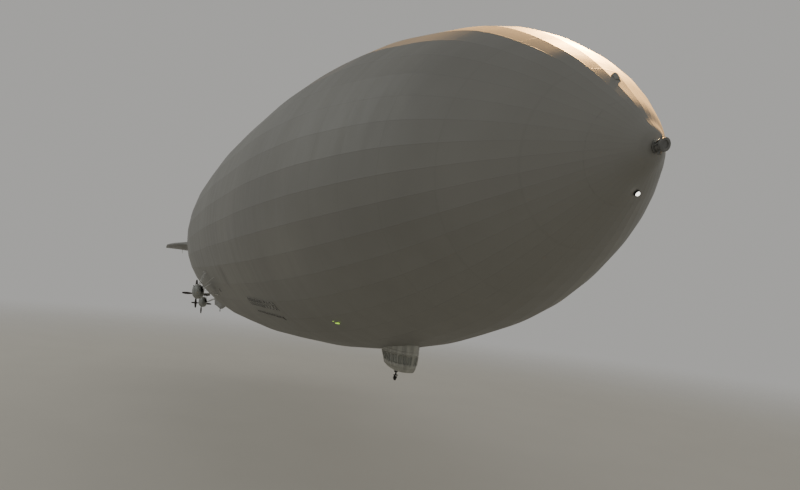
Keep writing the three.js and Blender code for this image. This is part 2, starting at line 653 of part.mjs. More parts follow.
// One section of a rudder or elevator: a round nose about the hinge, then flat flanks to a thin trailing
// edge.
function flapRing(section) {
  const radius = noseRadius(section.reach);
  const nose = [90, 45, 0, -45, -90].map((angle) => angle * DEGREE).map((angle) => new THREE.Vector3(
    along(HINGE_STATION) + radius * Math.cos(angle), radius * Math.sin(angle), section.reach));
  const flank = (share, half) => (
    new THREE.Vector3(along(HINGE_STATION + section.chord * share), half, section.reach));
  const [middle, edge] = [radius * 0.62, 0.04];
  return [...nose, flank(0.45, -middle), flank(1, -edge), flank(1, edge), flank(0.45, middle)];
}

// The room inside a flap lies between its solid nose and its solid trailing edge, and is open towards the
// hull.
function flapRoomRing(section) {
  const radius = noseRadius(section.reach);
  const corner = (aft, half) => new THREE.Vector3(along(HINGE_STATION + aft), half, section.reach);
  const front = 0.95 * radius - WALL;
  const back = Math.max(0.03, 0.33 * radius - WALL);
  const end = section.chord * 0.7;
  return [corner(FLAP_NOSE, front), corner(end, back), corner(end, -back), corner(FLAP_NOSE, -front)];
}

function makeFlap() {
  const room = loft(FLAP_SECTIONS.slice(0, -1).map(flapRoomRing));
  let flap = cut(toSolid(loft(FLAP_SECTIONS.map(flapRing))), room, hullBody(FLAP_INNER_GAP));
  for (const reach of HINGES.reaches) {
    const slotHeight = HINGES.height + 2 * RUN_GAP;
    const slotLength = HINGES.slotEnd + 2;
    const slotMiddle = along(HINGE_STATION + HINGES.slotEnd) + slotLength / 2;
    const boreRadius = (HINGE_PIN.radius + PIN_GAP) / Math.cos(Math.PI / PIN_SIDES);
    const bore = hingePin(boreRadius, HINGE_PIN.length + 2 * RUN_GAP, reach);
    flap = cut(flap, box(slotLength, 4, slotHeight, slotMiddle, 0, reach), bore);
  }
  for (const sign of [-1, 1]) {
    const height = HORN.height + noseRadius(HORN.reach);
    const hornMiddle = along(HINGE_STATION + HORN.length / 2 + 0.1);
    const horn = box(HORN.length, height, HORN.thickness, hornMiddle, sign * height / 2, HORN.reach);
    flap = flap.add(toSolid(horn));
  }
  return flap;
}

function makeTail() {
  const fin = makeFin();
  const flap = makeFlap();
  const places = [
    { fin: 'fin_upper', flap: 'rudder_upper', angle: 0 },
    { fin: 'fin_starboard', flap: 'elevator_starboard', angle: 90 },
    { fin: 'fin_lower', flap: 'rudder_lower', angle: 180 },
    { fin: 'fin_port', flap: 'elevator_port', angle: -90 },
  ];
  for (const place of places) {
    addPiece(place.fin, fin, FABRIC).rotation.x = place.angle * DEGREE;
    addPiece(place.flap, flap, FABRIC).rotation.x = place.angle * DEGREE;
  }
}

// A castor: the leg is fixed, the fork turns about the leg's axis and the wheel turns in the fork.
function addGear(label, station, top) {
  const gear = addGroup(along(station), 0, top);
  const yokeTop = -GEAR.leg - SEAT_GAP;
  const axleHeight = yokeTop - GEAR.yoke - RUN_GAP - WHEEL.radius;
  const armOuter = GEAR.armInner + GEAR.armThickness;

  const leg = new THREE.LatheGeometry([
    [0, -GEAR.leg], [GEAR.legRadius, -GEAR.leg], [GEAR.legRadius, -GEAR.boot - 0.06],
    [GEAR.bootRadius, -GEAR.boot], [GEAR.bootRadius, -SEAT_GAP], [0, -SEAT_GAP],
  ].map(([radius, y]) => new THREE.Vector2(radius, y)), 12).rotateX(Math.PI / 2);
  addPiece(`${label}_gear_leg`, toSolid(leg), DARK_METAL, gear);

  const yoke = box(0.34, 2 * armOuter, GEAR.yoke, 0, 0, yokeTop - GEAR.yoke / 2);
  const arms = [-1, 1].map((sign) => {
    const arm = bar(new THREE.Vector3(0, 0, yokeTop - GEAR.yoke / 2),
      new THREE.Vector3(-GEAR.trail, 0, axleHeight - 0.06), 0.16, 4, GEAR.armThickness);
    return arm.translate(0, sign * (GEAR.armInner + GEAR.armThickness / 2), 0);
  });
  const axle = new THREE.CylinderGeometry(WHEEL.axle, WHEEL.axle, 2 * armOuter, 12);
  axle.translate(-GEAR.trail, 0, axleHeight);
  addPiece(`${label}_gear_fork`, join(yoke, ...arms, axle), DARK_METAL, gear);

  const wheel = addGroup(-GEAR.trail, 0, axleHeight, gear);
  const bore = (WHEEL.axle + PIN_GAP) / Math.cos(Math.PI / 12);
  const hub = new THREE.LatheGeometry([
    [bore, -0.11], [0.09, -0.11], [WHEEL.hubRadius, -0.07], [WHEEL.hubRadius, 0.07], [0.09, 0.11],
    [bore, 0.11], [bore, -0.11],
  ].map(([radius, y]) => new THREE.Vector2(radius, y)), 12);
  addPiece(`${label}_wheel_hub`, hub, DARK_METAL, wheel);

  const seat = (WHEEL.hubRadius + SEAT_GAP) / Math.cos(Math.PI / WHEEL.sides);
  const half = WHEEL.width / 2;
  const tyre = new THREE.LatheGeometry([
    [seat, -0.065], [0.2, -half], [0.27, -half * 0.85], [WHEEL.radius, -half * 0.35],
    [WHEEL.radius, half * 0.35], [0.27, half * 0.85], [0.2, half], [seat, 0.065], [seat, -0.065],
  ].map(([radius, y]) => new THREE.Vector2(radius, y)), WHEEL.sides);
  addPiece(`${label}_tyre`, tyre, TYRE_RUBBER, wheel);
}

makeHull();
makeMooring();
makeLights();
makeControlCar();
makeEngineCars();
makeTail();
addGear('car', CAR_GEAR_STATION, carBottom);
addGear('tail', TAIL_GEAR_STATION, -FIN_SECTIONS.at(-1).reach);

export default ship;
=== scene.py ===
"""A rigid passenger airship of the 1930s at one tenth scale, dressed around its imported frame."""
import bmesh
import bpy
import math
from mathutils import Matrix, Vector


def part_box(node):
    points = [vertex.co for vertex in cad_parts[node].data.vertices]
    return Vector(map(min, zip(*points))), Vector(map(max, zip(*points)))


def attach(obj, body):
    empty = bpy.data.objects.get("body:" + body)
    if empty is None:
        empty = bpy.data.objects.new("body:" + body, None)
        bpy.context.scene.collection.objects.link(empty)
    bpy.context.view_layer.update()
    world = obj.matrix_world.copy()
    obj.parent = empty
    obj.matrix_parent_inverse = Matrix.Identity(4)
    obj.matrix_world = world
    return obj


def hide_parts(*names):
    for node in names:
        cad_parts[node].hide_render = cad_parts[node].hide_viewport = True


bl_info = {
    "name": "Rigid airship",
    "version": (1, 0, 0),
    "blender": (4, 5, 0),
    "location": "View3D > Sidebar > Airship",
    "description": "Builds the skin, cars, tail and gear of a rigid airship around its frame",
    "category": "Add Mesh",
}

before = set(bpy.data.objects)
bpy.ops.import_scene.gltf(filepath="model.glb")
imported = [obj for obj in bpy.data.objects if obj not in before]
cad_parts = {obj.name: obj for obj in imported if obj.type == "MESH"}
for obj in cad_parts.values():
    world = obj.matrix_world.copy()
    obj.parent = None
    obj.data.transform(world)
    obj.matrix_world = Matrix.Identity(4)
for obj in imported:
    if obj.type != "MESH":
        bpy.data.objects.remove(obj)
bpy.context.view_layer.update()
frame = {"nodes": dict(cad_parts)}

# Sizes are in metres of the full-size ship. METRE turns them into metres of the model.
METRE = 0.1
LIFT_STATION = 106.5
FLATS = 36
FLAT_ANGLE = 360 / FLATS
SIDES = (("starboard", 1), ("port", -1))

# Station aft of the nose, and the hull's radius there.
HULL_FRAMES = (
    (0, 0), (1.5, 2.3), (4, 4.85), (8, 8.2), (15.5, 12.45), (23, 14.8), (30.5, 16.55), (45.5, 18.55),
    (60.5, 19.5), (77, 20.3), (93.5, 20.5), (110, 20.55), (126.5, 20.0), (141.5, 19.15), (156.5, 17.95),
    (171.5, 16.15), (186.5, 13.85), (200, 11.3), (213, 8.5), (223, 6), (233.5, 3.4), (245, 0),
)
BOW_CAP_END = 2.4
TAIL_CONE_START = 233.5
TAIL_TIP = 244.4
# The hull's mesh is finer ahead of the first station and behind the second.
EVEN_RINGS = (24, 200)
# Between these stations at the bow, and these at the tail, the cloth goes over from taut to drawn in.
BOW_EASE, TAIL_EASE = (3, 15), (232, 227)
# Columns of mesh on each flat.
FLAT_COLUMNS = 3
HOOD_STATIONS = (4.5, 47, 77, 107, 140, 173)
# Length, width and height of a ventilation hood, and the share of them that the hood at the bow has.
HOOD_SIZE = (1.3, 1.0, 0.45)
BOW_HOOD_SHARE = 0.45
# Share of the pitch that a promenade window takes, its height, and how many of each row have braces.
WINDOW_SHARE, WINDOW_HEIGHT, BRACED_WINDOWS = 0.86, 0.48, 4
# Station, length, depth below the axis and height of the other windows: a low row and two lone ones.
OTHER_WINDOWS = [(49 + index * 1.25, 0.7, 15.25, 0.18) for index in range(10)]
OTHER_WINDOWS += [(47.9, 0.5, 15.35, 0.34), (83.4, 0.7, 13.0, 0.5)]
# Station, length, angle from the keel and height of the boarding hatch.
HATCH = (52.6, 1.1, 15, 4.2)
# Station of each lamp, and its angle from the keel.
BOW_LAMP = (1.7, -18)
SIDE_LIGHT = (31.8, 30.5)
# How far ahead, length, how far aside, half width, height and finish of a side light's housing
# and of its two lenses.
SIDE_LIGHT_PARTS = (
    (0, 2.3, 0.0, 0.06, 0.03, 0), (0, 2.1, 0.0, 0.05, 0.09, 1), (-0.8, 1.2, 0.36, 0.05, 0.09, 1),
)

CAR_FRONT = 28.2
CAR_LENGTH = 9.1
CAR_HALF_WIDTH = 1.6
CAR_DEPTH = 2.5
CAR_SILL = 1.02
CAR_HEAD = 1.98
# Height above the car's bottom, share of its width, and how far its nose and tail draw in.
CAR_SECTIONS = (
    (0, 0.6, 0.98, 4.65), (0.12, 0.69, 0.32, 2.62), (0.5, 0.84, 0.15, 1.53), (1.0, 0.93, 0.06, 1.16),
    (2.2, 1.0, 0, 0.2), (5.2, 1.0, 0, 0.1),
)
# Heights of the rings of the car's shell above its bottom.
CAR_HEIGHTS = (
    0, 0.03, 0.07, 0.12, 0.2, 0.34, 0.5, 0.75, CAR_SILL, 1.5, CAR_HEAD, 2.2, 2.45, 2.7, 3.0, 3.4, 4.2,
)
# Height above the car's bottom of the bands round it, and their radius in metres of the model.
CAR_BANDS = ((0.5, 0.0028), (2.16, 0.0022), (2.5, 0.0032))
# Turns of the small lamps on the car, and their height above its bottom.
CAR_LAMP_TURNS, CAR_LAMP_HEIGHT = (33, -33, 82, -82), 2.3
# The first and last turn of each car window, in degrees round from the car's nose.
CAR_WINDOWS = (
    (2.5, 18), (21, 33), (36, 47.5), (51, 64.5), (67, 78.5), (81, 91.5), (94, 104.5), (107, 118.5),
)

# Name, station, reach from the hull's axis and angle below the horizontal of each pair of engine cars.
ENGINE_ROWS = (("forward", 93.5, 23.8, 35.8), ("aft", 141.5, 22.6, 53.35))
# The propeller shaft runs lower than the middle of its car.
SHAFT_DROP = 0.6
# Distance ahead of the engine car's centre, half width, half height, and how far the section lies lower.
NACELLE_SECTIONS = (
    (2.85, 0.42, 0.52, 0.06), (2.5, 0.76, 0.94, 0.03), (1.8, 1.03, 1.3, 0), (0.6, 1.18, 1.5, 0),
    (-0.6, 1.15, 1.44, 0.03), (-1.7, 0.96, 1.1, 0.19), (-2.6, 0.64, 0.68, 0.42), (-3.15, 0.36, 0.36, 0.6),
)
# The air intake opens ahead of a place, inboard of a line and above a line.
INTAKE_BACK, INTAKE_INNER, INTAKE_LOW = 1.6, 0.35, 0.1
NACELLE_SQUARENESS = 0.85
# Ahead of the engine car's centre: its bands, and on each side its windows, louvres and exhaust stubs.
NACELLE_BANDS = (1.45, 0.2, -1.1, -2.2)
NACELLE_WINDOWS = (0.9, -0.3)
NACELLE_LOUVRES = tuple(0.9 - index * 0.26 for index in range(6))
NACELLE_EXHAUSTS = tuple(1.2 - index * 0.52 for index in range(4))
PROPELLER_PLANE = -3.55
# Reach, chord, thickness and pitch in degrees of a propeller blade.
BLADE_SECTIONS = (
    (0.15, 0.3, 0.2, 62), (0.8, 0.42, 0.14, 50), (1.8, 0.6, 0.09, 32), (2.7, 0.44, 0.05, 22),
    (3.1, 0.16, 0.02, 20),
)

HINGE_STATION = 213
RUN_GAP = 0.06
NOSE_SHARE = 0.46
# Reach from the hull's axis, station of the leading edge and half thickness of a fin.
FIN_SECTIONS = (
    (4, 174, 1.8), (15.5, 176, 1.5), (17.8, 180.5, 1.2), (20.6, 187, 0.85), (22, 193.5, 0.6),
    (22.9, 199.5, 0.4),
)
# Reach and chord of a rudder or elevator.
FLAP_SECTIONS = ((3, 8), (6.2, 15.7), (10, 15.4), (17, 14.4), (20.8, 13.4), (22.6, 12))
HINGE_REACHES = (11.2, 19.2)
HINGE_SLOT = 0.18
SLOT_END = 0.36
HORN_REACH = 16.2
# The fins start inside the hull, and the rudders and elevators clear the tail cone by a gap.
FIN_ROOT, FLAP_ROOT, CONE_GAP = 7.5, 5.55, 0.32
# Share of the chord where a fin is thickest.
FIN_THICKEST = 0.42
FIN_TURNS = (("upper", 0), ("starboard", 90), ("lower", 180), ("port", -90))

# Half the width of a landing wheel's tyre, and where the raised lines run round its tread.
TYRE_HALF_WIDTH = 0.1
TREAD_RADIUS = 0.2985
TREAD_OFFSETS = (-0.035, 0.0, 0.035)

# Radii of the floor's rings, and the distances between which it fades out, in metres of the model.
FLOOR_RINGS = (1, 20, 60, 160, 600)
FLOOR_FADE = (18.0, 60.0)
# The low sun's direction as seen from the ship, where its lamp aims, and how far off the lamp hangs.
SUN_WAY = (-0.6, 0.54, 0.59)
SUN_AIM = (12.0, 0, 0.3)
SUN_DISTANCE = 40
SUN_COLOUR = (1.0, 0.55, 0.18)
SUN_CONE = 12
# The large cool panel, which faces the middle of the ship.
PANEL_PLACE = (-14, -26, 24)
PANEL_SIZE = 26
PANEL_COLOUR = (0.93, 0.98, 1.0)


def along(station):
    """The place along the ship of a station aft of the nose."""
    return (LIFT_STATION - station) * METRE


def spot_at(station, across, up):
    """A place in the ship's frame from full-size metres: a station, a distance to port and a height."""
    return Vector((along(station), across * METRE, up * METRE))


def between(table, value, column):
    """A column of a table, read between its rows, which go up or down in their first column."""
    for low, high in zip(table, table[1:]):
        if min(low[0], high[0]) <= value <= max(low[0], high[0]):
            share = (value - low[0]) / (high[0] - low[0])
            return low[column] + share * (high[column] - low[column])
    ends = (table[0], table[-1])
    return min(ends, key=lambda row: abs(row[0] - value))[column]


def smooth_between(table, value, column):
    """The same, along a curve through the rows."""
    for index, (low, high) in enumerate(zip(table, table[1:])):
        if min(low[0], high[0]) <= value <= max(low[0], high[0]):
            before = table[max(0, index - 1)]
            after = table[min(len(table) - 1, index + 2)]
            span = high[0] - low[0]
            share = (value - low[0]) / span
            start = (high[column] - before[column]) / (high[0] - before[0]) * span
            end = (after[column] - low[column]) / (after[0] - low[0]) * span
            turn = 3 * share ** 2 - 2 * share ** 3
            return ((1 - turn) * low[column] + turn * high[column] + start * share * (1 - share) ** 2
                    - end * share ** 2 * (1 - share))
    return between(table, value, column)


SQUARED_FRAMES = tuple((station, radius ** 2) for station, radius in HULL_FRAMES)


def hull_radius(station):
    """The distance from the axis to the hull's edges, smooth through the frames."""
    return math.sqrt(max(0.0, smooth_between(SQUARED_FRAMES, station, 1)))


def at(station, angle, out=0.0):
    """A point on the hull's flats. The angle runs from the keel to starboard, and out is above the skin."""
    off_middle = (angle + FLAT_ANGLE / 2) % FLAT_ANGLE - FLAT_ANGLE / 2
    middle = hull_radius(station) * math.cos(math.radians(FLAT_ANGLE / 2))
    reach = (middle / math.cos(math.radians(off_middle)) + out) * METRE
    turn = math.radians(angle)
    return Vector((along(station), -reach * math.sin(turn), -reach * math.cos(turn)))


def upright(station, angle):
    """The direction square to the hull there."""
    fore = at(station - 0.2, angle) - at(station + 0.2, angle)
    round_hull = at(station, angle + 1) - at(station, angle - 1)
    normal = fore.cross(round_hull).normalized()
    outward = at(station, angle) - Vector((along(station), 0, 0))
    return normal if normal.dot(outward) > 0 else -normal


def spread(start, end, count, power=1.0):
    """Values from start to end, closer to the start for a power over 1."""
    return [start + (end - start) * (step / count) ** power for step in range(count + 1)]


def oblong(start, end, first, last):
    """Four corners in order, from start to end one way and from first to last the other."""
    return ((start, first), (end, first), (end, last), (start, last))


def turns_of(count):
    """Even turns round a circle, in radians."""
    return [math.tau * step / count for step in range(count)]


def full_size(profile):
    """A turned profile given in full-size metres, in metres of the model."""
    return [(distance * METRE, radius * METRE) for distance, radius in profile]


def placed(name, data):
    """A new object in the scene."""
    made = bpy.data.objects.new(name, data)
    bpy.context.scene.collection.objects.link(made)
    return made


NACELLE_TURNS = spread(0, 360, 56)[:-1]


class Shape:
    """The points and faces of one piece, gathered from simple forms."""

    def __init__(self):
        self.points = []
        self.faces = []
        self.slots = []

    def add(self, points, faces, slot=0):
        """Adds points, and faces that number them from nought."""
        base = len(self.points)
        self.points.extend(Vector(point) for point in points)
        self.faces.extend([base + index for index in face] for face in faces)
        self.slots.extend([slot] * len(faces))

    def loft(self, rings, slot=0, caps=True, loop=False):
        """A skin over rings that have the same number of points."""
        sides = len(rings[0])
        faces = []
        for band in range(len(rings) if loop else len(rings) - 1):
            here = band * sides
            after = (band + 1) % len(rings) * sides
            for side in range(sides):
                beside = (side + 1) % sides
                faces.append((here + side, here + beside, after + beside, after + side))
        if caps and not loop:
            last = (len(rings) - 1) * sides
            faces.append(tuple(range(sides)))
            faces.append(tuple(range(last, last + sides)))
        self.add([point for ring in rings for point in ring], faces, slot)

    def tube(self, path, radius, sides=10, slot=0, loop=False):
        """A round bar along a path."""
        path = [Vector(point) for point in path]
        side = None
        rings = []
        for index, point in enumerate(path):
            if loop:
                run = path[(index + 1) % len(path)] - path[index - 1]
            else:
                run = path[min(index + 1, len(path) - 1)] - path[max(index - 1, 0)]
            run.normalize()
            if side is None:
                side = run.orthogonal()
            side = (side - run * side.dot(run)).normalized()
            up = run.cross(side)
            rings.append([
                point + side * radius * math.cos(turn) + up * radius * math.sin(turn)
                for turn in turns_of(sides)
            ])
        self.loft(rings, slot, loop=loop)

    def lathe(self, profile, centre, axis, sides=40, slot=0, closed=False):
        """A turned form from pairs of a distance along its axis and a radius."""
        axis = Vector(axis).normalized()
        side = axis.orthogonal().normalized()
        up = axis.cross(side)
        rings = [
            [
                Vector(centre) + axis * distance
                + (side * math.cos(turn) + up * math.sin(turn)) * max(radius, 1e-5)
                for turn in turns_of(sides)
            ]
            for distance, radius in profile
        ]
        self.loft(rings, slot, loop=closed)

    def block(self, centre, size, turn=None, slot=0):
        """A block, turned by a matrix about its centre."""
        turn = turn or Matrix.Identity(3)
        half = Vector(size) / 2
        corners = [
            Vector(centre) + turn @ Vector((x * half.x, y * half.y, z * half.z))
            for z in (-1, 1) for x, y in ((-1, -1), (1, -1), (1, 1), (-1, 1))
        ]
        self.loft([corners[:4], corners[4:]], slot)

    def patch(self, surface, corners, low, high, slot=0, steps=1):
        """A thin plate between two heights over a surface, given four corners on it in order."""
        rings = []
        first, second, third, fourth = (Vector(corner) for corner in corners)
        for step in range(steps + 1):
            share = step / steps
            near = first.lerp(second, share)
            far = fourth.lerp(third, share)
            rings.append([
                surface(*spot, out) for spot, out in ((near, low), (near, high), (far, high), (far, low))
            ])
        self.loft(rings, slot)

    def build(self, name, body, finishes, slot_name, crease=30, bevel=0.0, sharp=None, opening=()):
        """Makes the piece from the names of its finishes. It rides on a body. The slot name is not used.

        An opening is bounded by planes, each a point and a direction into it.
        """
        mesh = bpy.data.meshes.new(name)
        mesh.from_pydata(self.points, [], self.faces)
        for finish in finishes:
            mesh.materials.append(Finishes.get(finish))
        mesh.polygons.foreach_set("material_index", self.slots)
        work = bmesh.new()
        work.from_mesh(mesh)
        bmesh.ops.remove_doubles(work, verts=work.verts, dist=2e-6)
        bmesh.ops.recalc_face_normals(work, faces=work.faces)
        for point, direction in opening:
            every = work.verts[:] + work.edges[:] + work.faces[:]
            bmesh.ops.bisect_plane(work, geom=every, plane_co=point, plane_no=direction, dist=1e-6)
        gone = [
            face for face in work.faces
            if opening and all((face.calc_center_median() - point).dot(way) > 0 for point, way in opening)
        ]
        bmesh.ops.delete(work, geom=gone, context="FACES")
        for edge in work.edges:
            if sharp and sharp(*(vert.co for vert in edge.verts)):
                edge.smooth = False
        work.to_mesh(mesh)
        work.free()
        mesh.shade_smooth()
        if not sharp:
            mesh.set_sharp_from_angle(angle=math.radians(crease))
        piece = placed(name, mesh)
        if bevel:
            rounding = piece.modifiers.new("rounded edges", "BEVEL")
            rounding.width = bevel
            rounding.segments = 2
            rounding.limit_method = "ANGLE"
            rounding.angle_limit = math.radians(40)
            rounding.harden_normals = True
        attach(piece, body)
        return piece


class Value:
    """A node's output that takes part in sums."""

    def __init__(self, finish, socket):
        self.finish = finish
        self.socket = socket

    def maths(self, operation, *others):
        inputs = dict(enumerate((self, *others)))
        return self.finish.node("ShaderNodeMath", {"operation": operation}, inputs)

    def __add__(self, other):
        return self.maths("ADD", other)

    def __sub__(self, other):
        return self.maths("SUBTRACT", other)

    def __mul__(self, other):
        return self.maths("MULTIPLY", other)

    def __truediv__(self, other):
        return self.maths("DIVIDE", other)

    def __rsub__(self, other):
        return self.finish.node("ShaderNodeMath", {"operation": "SUBTRACT"}, {0: other, 1: self})

class Finish:
    """One material, made from the principled surface and procedural nodes."""

    def __init__(self, name, colour, roughness, metallic=0.0, **sockets):
        self.material = bpy.data.materials.new(name)
        self.material.use_nodes = True
        self.tree = self.material.node_tree
        self.surface = self.tree.nodes["Principled BSDF"]
        self.set("Base Color", (*colour, 1))
        self.set("Roughness", roughness)
        self.set("Metallic", metallic)
        for socket, value in sockets.items():
            self.set(socket.replace("_", " "), value)

    def set(self, socket, value):
        """Gives a socket of the surface a value or a link."""
        if isinstance(value, Value):
            self.tree.links.new(value.socket, self.surface.inputs[socket])
        else:
            self.surface.inputs[socket].default_value = value

    def node(self, kind, settings=None, inputs=None, output=0):
        """Adds a node: its settings first, then the values or links of its sockets."""
        made = self.tree.nodes.new(kind)
        for key, value in (settings or {}).items():
            setattr(made, key, value)
        for key, value in (inputs or {}).items():
            if isinstance(value, Value):
                self.tree.links.new(value.socket, made.inputs[key])
            else:
                made.inputs[key].default_value = value
        return Value(self, made.outputs[output])

    def place(self):
        """The place in the ship's frame of a point on the piece."""
        return self.node("ShaderNodeTexCoord", output="Object")

    def axes(self):
        """That place, and its three numbers."""
        place = self.place()
        outputs = self.node("ShaderNodeSeparateXYZ", inputs={0: place}).socket.node.outputs
        return [place, *(Value(self, outputs[axis]) for axis in range(3))]

    def join(self, x, y, z):
        return self.node("ShaderNodeCombineXYZ", inputs={0: x, 1: y, 2: z})

    def noise(self, vector, scale, detail=3.0, rough=0.5):
        inputs = {"Vector": vector, "Scale": scale, "Detail": detail, "Roughness": rough}
        return self.node("ShaderNodeTexNoise", inputs=inputs)

    def step(self, value, start, end, low=0.0, high=1.0):
        """A smooth change from low to high as the value goes from start to end."""
        settings = {"interpolation_type": "SMOOTHSTEP"}
        inputs = {"Value": value, "From Min": start, "From Max": end, "To Min": low, "To Max": high}
        return self.node("ShaderNodeMapRange", settings, inputs)

    def mix(self, factor, first, second):
        """A colour between two colours."""
        first, second = (c if isinstance(c, Value) else (*c, 1) for c in (first, second))
        inputs = {0: factor, 6: first, 7: second}
        return self.node("ShaderNodeMix", {"data_type": "RGBA"}, inputs, 2)

    def shades(self, value, start, end, colour, first, last):
        """A colour times a factor, which goes from first to last as the value goes from start to end."""
        return self.mix(self.step(value, start, end), scaled(colour, first), scaled(colour, last))

    def done(self, colour, roughness, height=None, strength=0.0, distance=0.0):
        """Sets the surface's colour, roughness and relief, and gives the material."""
        self.set("Base Color", colour)
        self.set("Roughness", roughness)
        if height is not None:
            inputs = {"Height": height, "Strength": strength, "Distance": distance}
            self.set("Normal", self.node("ShaderNodeBump", inputs=inputs))
        return self.material


def scaled(colour, factor):
    """A colour made lighter or darker."""
    return tuple(part * factor for part in colour[:3])


def ring_lines(finish, value, pitch, width):
    """One on thin lines that repeat with a pitch, and nought between them."""
    part = (value / pitch).maths("FRACT")
    return finish.step((part - 0.5).maths("ABSOLUTE") * pitch, 0.3 * width, width, 1.0, 0.0)


def doped_cloth(name, colour):
    """Doped cotton over the framework: seams at edges and rings, weathered panels, faint streaks."""
    finish = Finish(name, colour, 0.5, 0.3)
    place, x, y, z = finish.axes()
    turn = finish.node("ShaderNodeMath", {"operation": "ARCTAN2"}, {0: y, 1: z}) * (FLATS / math.tau)
    bay = x / (5 * METRE)
    edge = ring_lines(finish, turn, 1.0, 0.035)
    ring = ring_lines(finish, bay + 0.25, 1.0, 0.022)
    lacing = ring_lines(finish, turn * 24, 1.0, 0.3) * ring
    panel = finish.node(
        "ShaderNodeTexWhiteNoise", {"noise_dimensions": "2D"},
        {"Vector": finish.join((turn + 0.5).maths("FLOOR"), (bay + 0.75).maths("FLOOR"), 0.0)})
    cloud = finish.noise(place, 0.55, 4.0, 0.55)
    streak = finish.noise(finish.join(x * 6, turn * 0.22, 0.0), 1.0, 5.0, 0.6)
    weave = finish.noise(place, 420.0, 2.0)
    shade = cloud * 0.7 + streak * 0.2 + panel * 0.05
    tint = finish.shades(shade, 0.3, 0.62, colour, 0.92, 1.07)
    seams = edge.maths("MAXIMUM", ring * 0.7)
    # A soft dark patch, mirrored onto both sides, darkens the cloth ahead of the forward engine cars.
    dark_patch_at = at(69.3, 59.1)
    mirrored = finish.join(x, 0.0 - y.maths("ABSOLUTE"), z)
    away = finish.node(
        "ShaderNodeVectorMath", {"operation": "DISTANCE"}, {0: mirrored, 1: tuple(dark_patch_at)}, "Value")
    blotch = finish.step(away + cloud * 0.1, 0.1, 0.36, 0.3, 0.0)
    tint = finish.mix(seams * 0.1, tint, scaled(colour, 0.62))
    return finish.done(
        finish.mix(blotch, tint, scaled(colour, 0.35)),
        finish.step(streak + panel * 0.12, 0.35, 0.75, 0.5, 0.6),
        seams * 0.6 + lacing * 0.3 + weave * 0.1 + cloud * 0.2, 0.2, 0.003)


def tail_cloth(name, colour):
    """The same cloth over ribs that run fore and aft on the fins and flaps."""
    finish = Finish(name, colour, 0.5, 0.3)
    place, x, y, z = finish.axes()
    reach = (y * y + z * z).maths("SQRT")
    rib = ring_lines(finish, reach, 1.1 * METRE, 0.004)
    spar = ring_lines(finish, x, 3.2 * METRE, 0.004)
    cloud = finish.noise(place, 1.6, 4.0, 0.55)
    streak = finish.noise(finish.join(x * 0.6, y * 5, z * 5), 2.0, 4.0)
    tint = finish.shades(cloud * 0.6 + streak * 0.4, 0.35, 0.65, colour, 0.86, 1.1)
    seams = rib.maths("MAXIMUM", spar * 0.7)
    return finish.done(
        finish.mix(seams * 0.2, tint, scaled(colour, 0.6)),
        finish.step(streak, 0.3, 0.7, 0.42, 0.56),
        seams + cloud * 0.3, 0.4, 0.003)


def sheet_metal(name, colour, pitch, roughness=0.42, metallic=0.35):
    """Painted light-alloy sheet, with plate joints, rows of rivets and rubbed patches."""
    finish = Finish(name, colour, roughness, metallic)
    place, x, y, z = finish.axes()
    joint = ring_lines(finish, x, pitch, 0.0022)
    rivets = ring_lines(finish, x, pitch, 0.006) * ring_lines(finish, y + z * 1.3, 0.008, 0.0035)
    wear = finish.noise(place, 9.0, 5.0, 0.6)
    grime = finish.noise(finish.join(x * 4, y * 4, z), 5.0, 4.0)
    tint = finish.shades(grime, 0.3, 0.7, colour, 0.78, 1.15)
    tint = finish.mix(joint * 0.6, tint, scaled(colour, 0.45))
    return finish.done(
        finish.mix(finish.step(wear, 0.66, 0.8, 0.0, 0.45), tint, scaled(colour, 1.9)),
        finish.step(wear, 0.3, 0.7, roughness - 0.08, roughness + 0.12),
        rivets * 0.6 - joint + grime * 0.15, 0.4, 0.0015)


def bare_metal(name, colour, roughness, metallic=0.85):
    """Bare or blackened metal with drawn lines, stains and polished wear."""
    finish = Finish(name, colour, roughness, metallic)
    place, x, y, z = finish.axes()
    drawn = finish.noise(finish.join(x * 8, y * 60, z * 60), 6.0, 3.0)
    blotch = finish.noise(place, 14.0, 5.0, 0.6)
    worn = drawn * 0.5 + blotch * 0.5
    return finish.done(
        finish.shades(blotch, 0.35, 0.7, colour, 0.7, 1.2),
        finish.step(worn, 0.3, 0.7, roughness - 0.1, roughness + 0.14),
        drawn * 0.4 + blotch * 0.6, 0.12, 0.0008)


def varnished_wood(name, colour, grain, roughness=0.35):
    """Laminated wood with long grain under varnish."""
    finish = Finish(name, colour, roughness, Coat_Weight=0.35, Coat_Roughness=0.2)
    place, x, y, z = finish.axes()
    lines = finish.noise(finish.join(x * 30, y * 30, z * 4), grain, 5.0, 0.65)
    layer = finish.node(
        "ShaderNodeTexWave", {"bands_direction": "X"},
        {"Vector": place, "Scale": 45.0, "Distortion": 3.0, "Detail": 3.0}, 1)
    return finish.done(
        finish.shades(lines * 0.7 + layer * 0.3, 0.3, 0.7, colour, 0.6, 1.35),
        finish.step(lines, 0.3, 0.7, roughness - 0.06, roughness + 0.1),
        lines, 0.15, 0.0006)


def wheel_rubber(name, colour):
    """Rubber, dusty on the tread."""
    finish = Finish(name, colour, 0.8)
    place = finish.place()
    dust = finish.noise(place, 60.0, 5.0, 0.6)
    return finish.done(
        finish.shades(dust, 0.4, 0.75, colour, 1, 2.6),
        finish.step(dust, 0.3, 0.7, 0.7, 0.92),
        finish.noise(place, 300.0, 3.0), 0.3, 0.0006)


def window_glass(name, colour, clear, gloss):
    """A pane with faint dirt. A clear one lets light through; an opaque near-black one is painted shade for
    a dark cabin behind it.
    """
    finish = Finish(name, colour, 0.06, Transmission_Weight=clear, IOR=1.45, Specular_IOR_Level=gloss)
    dirt = finish.noise(finish.place(), 26.0, 4.0, 0.6)
    return finish.done(
        finish.shades(dirt, 0.45, 0.8, colour, 1, 0.85), finish.step(dirt, 0.4, 0.8, 0.05, 0.25))


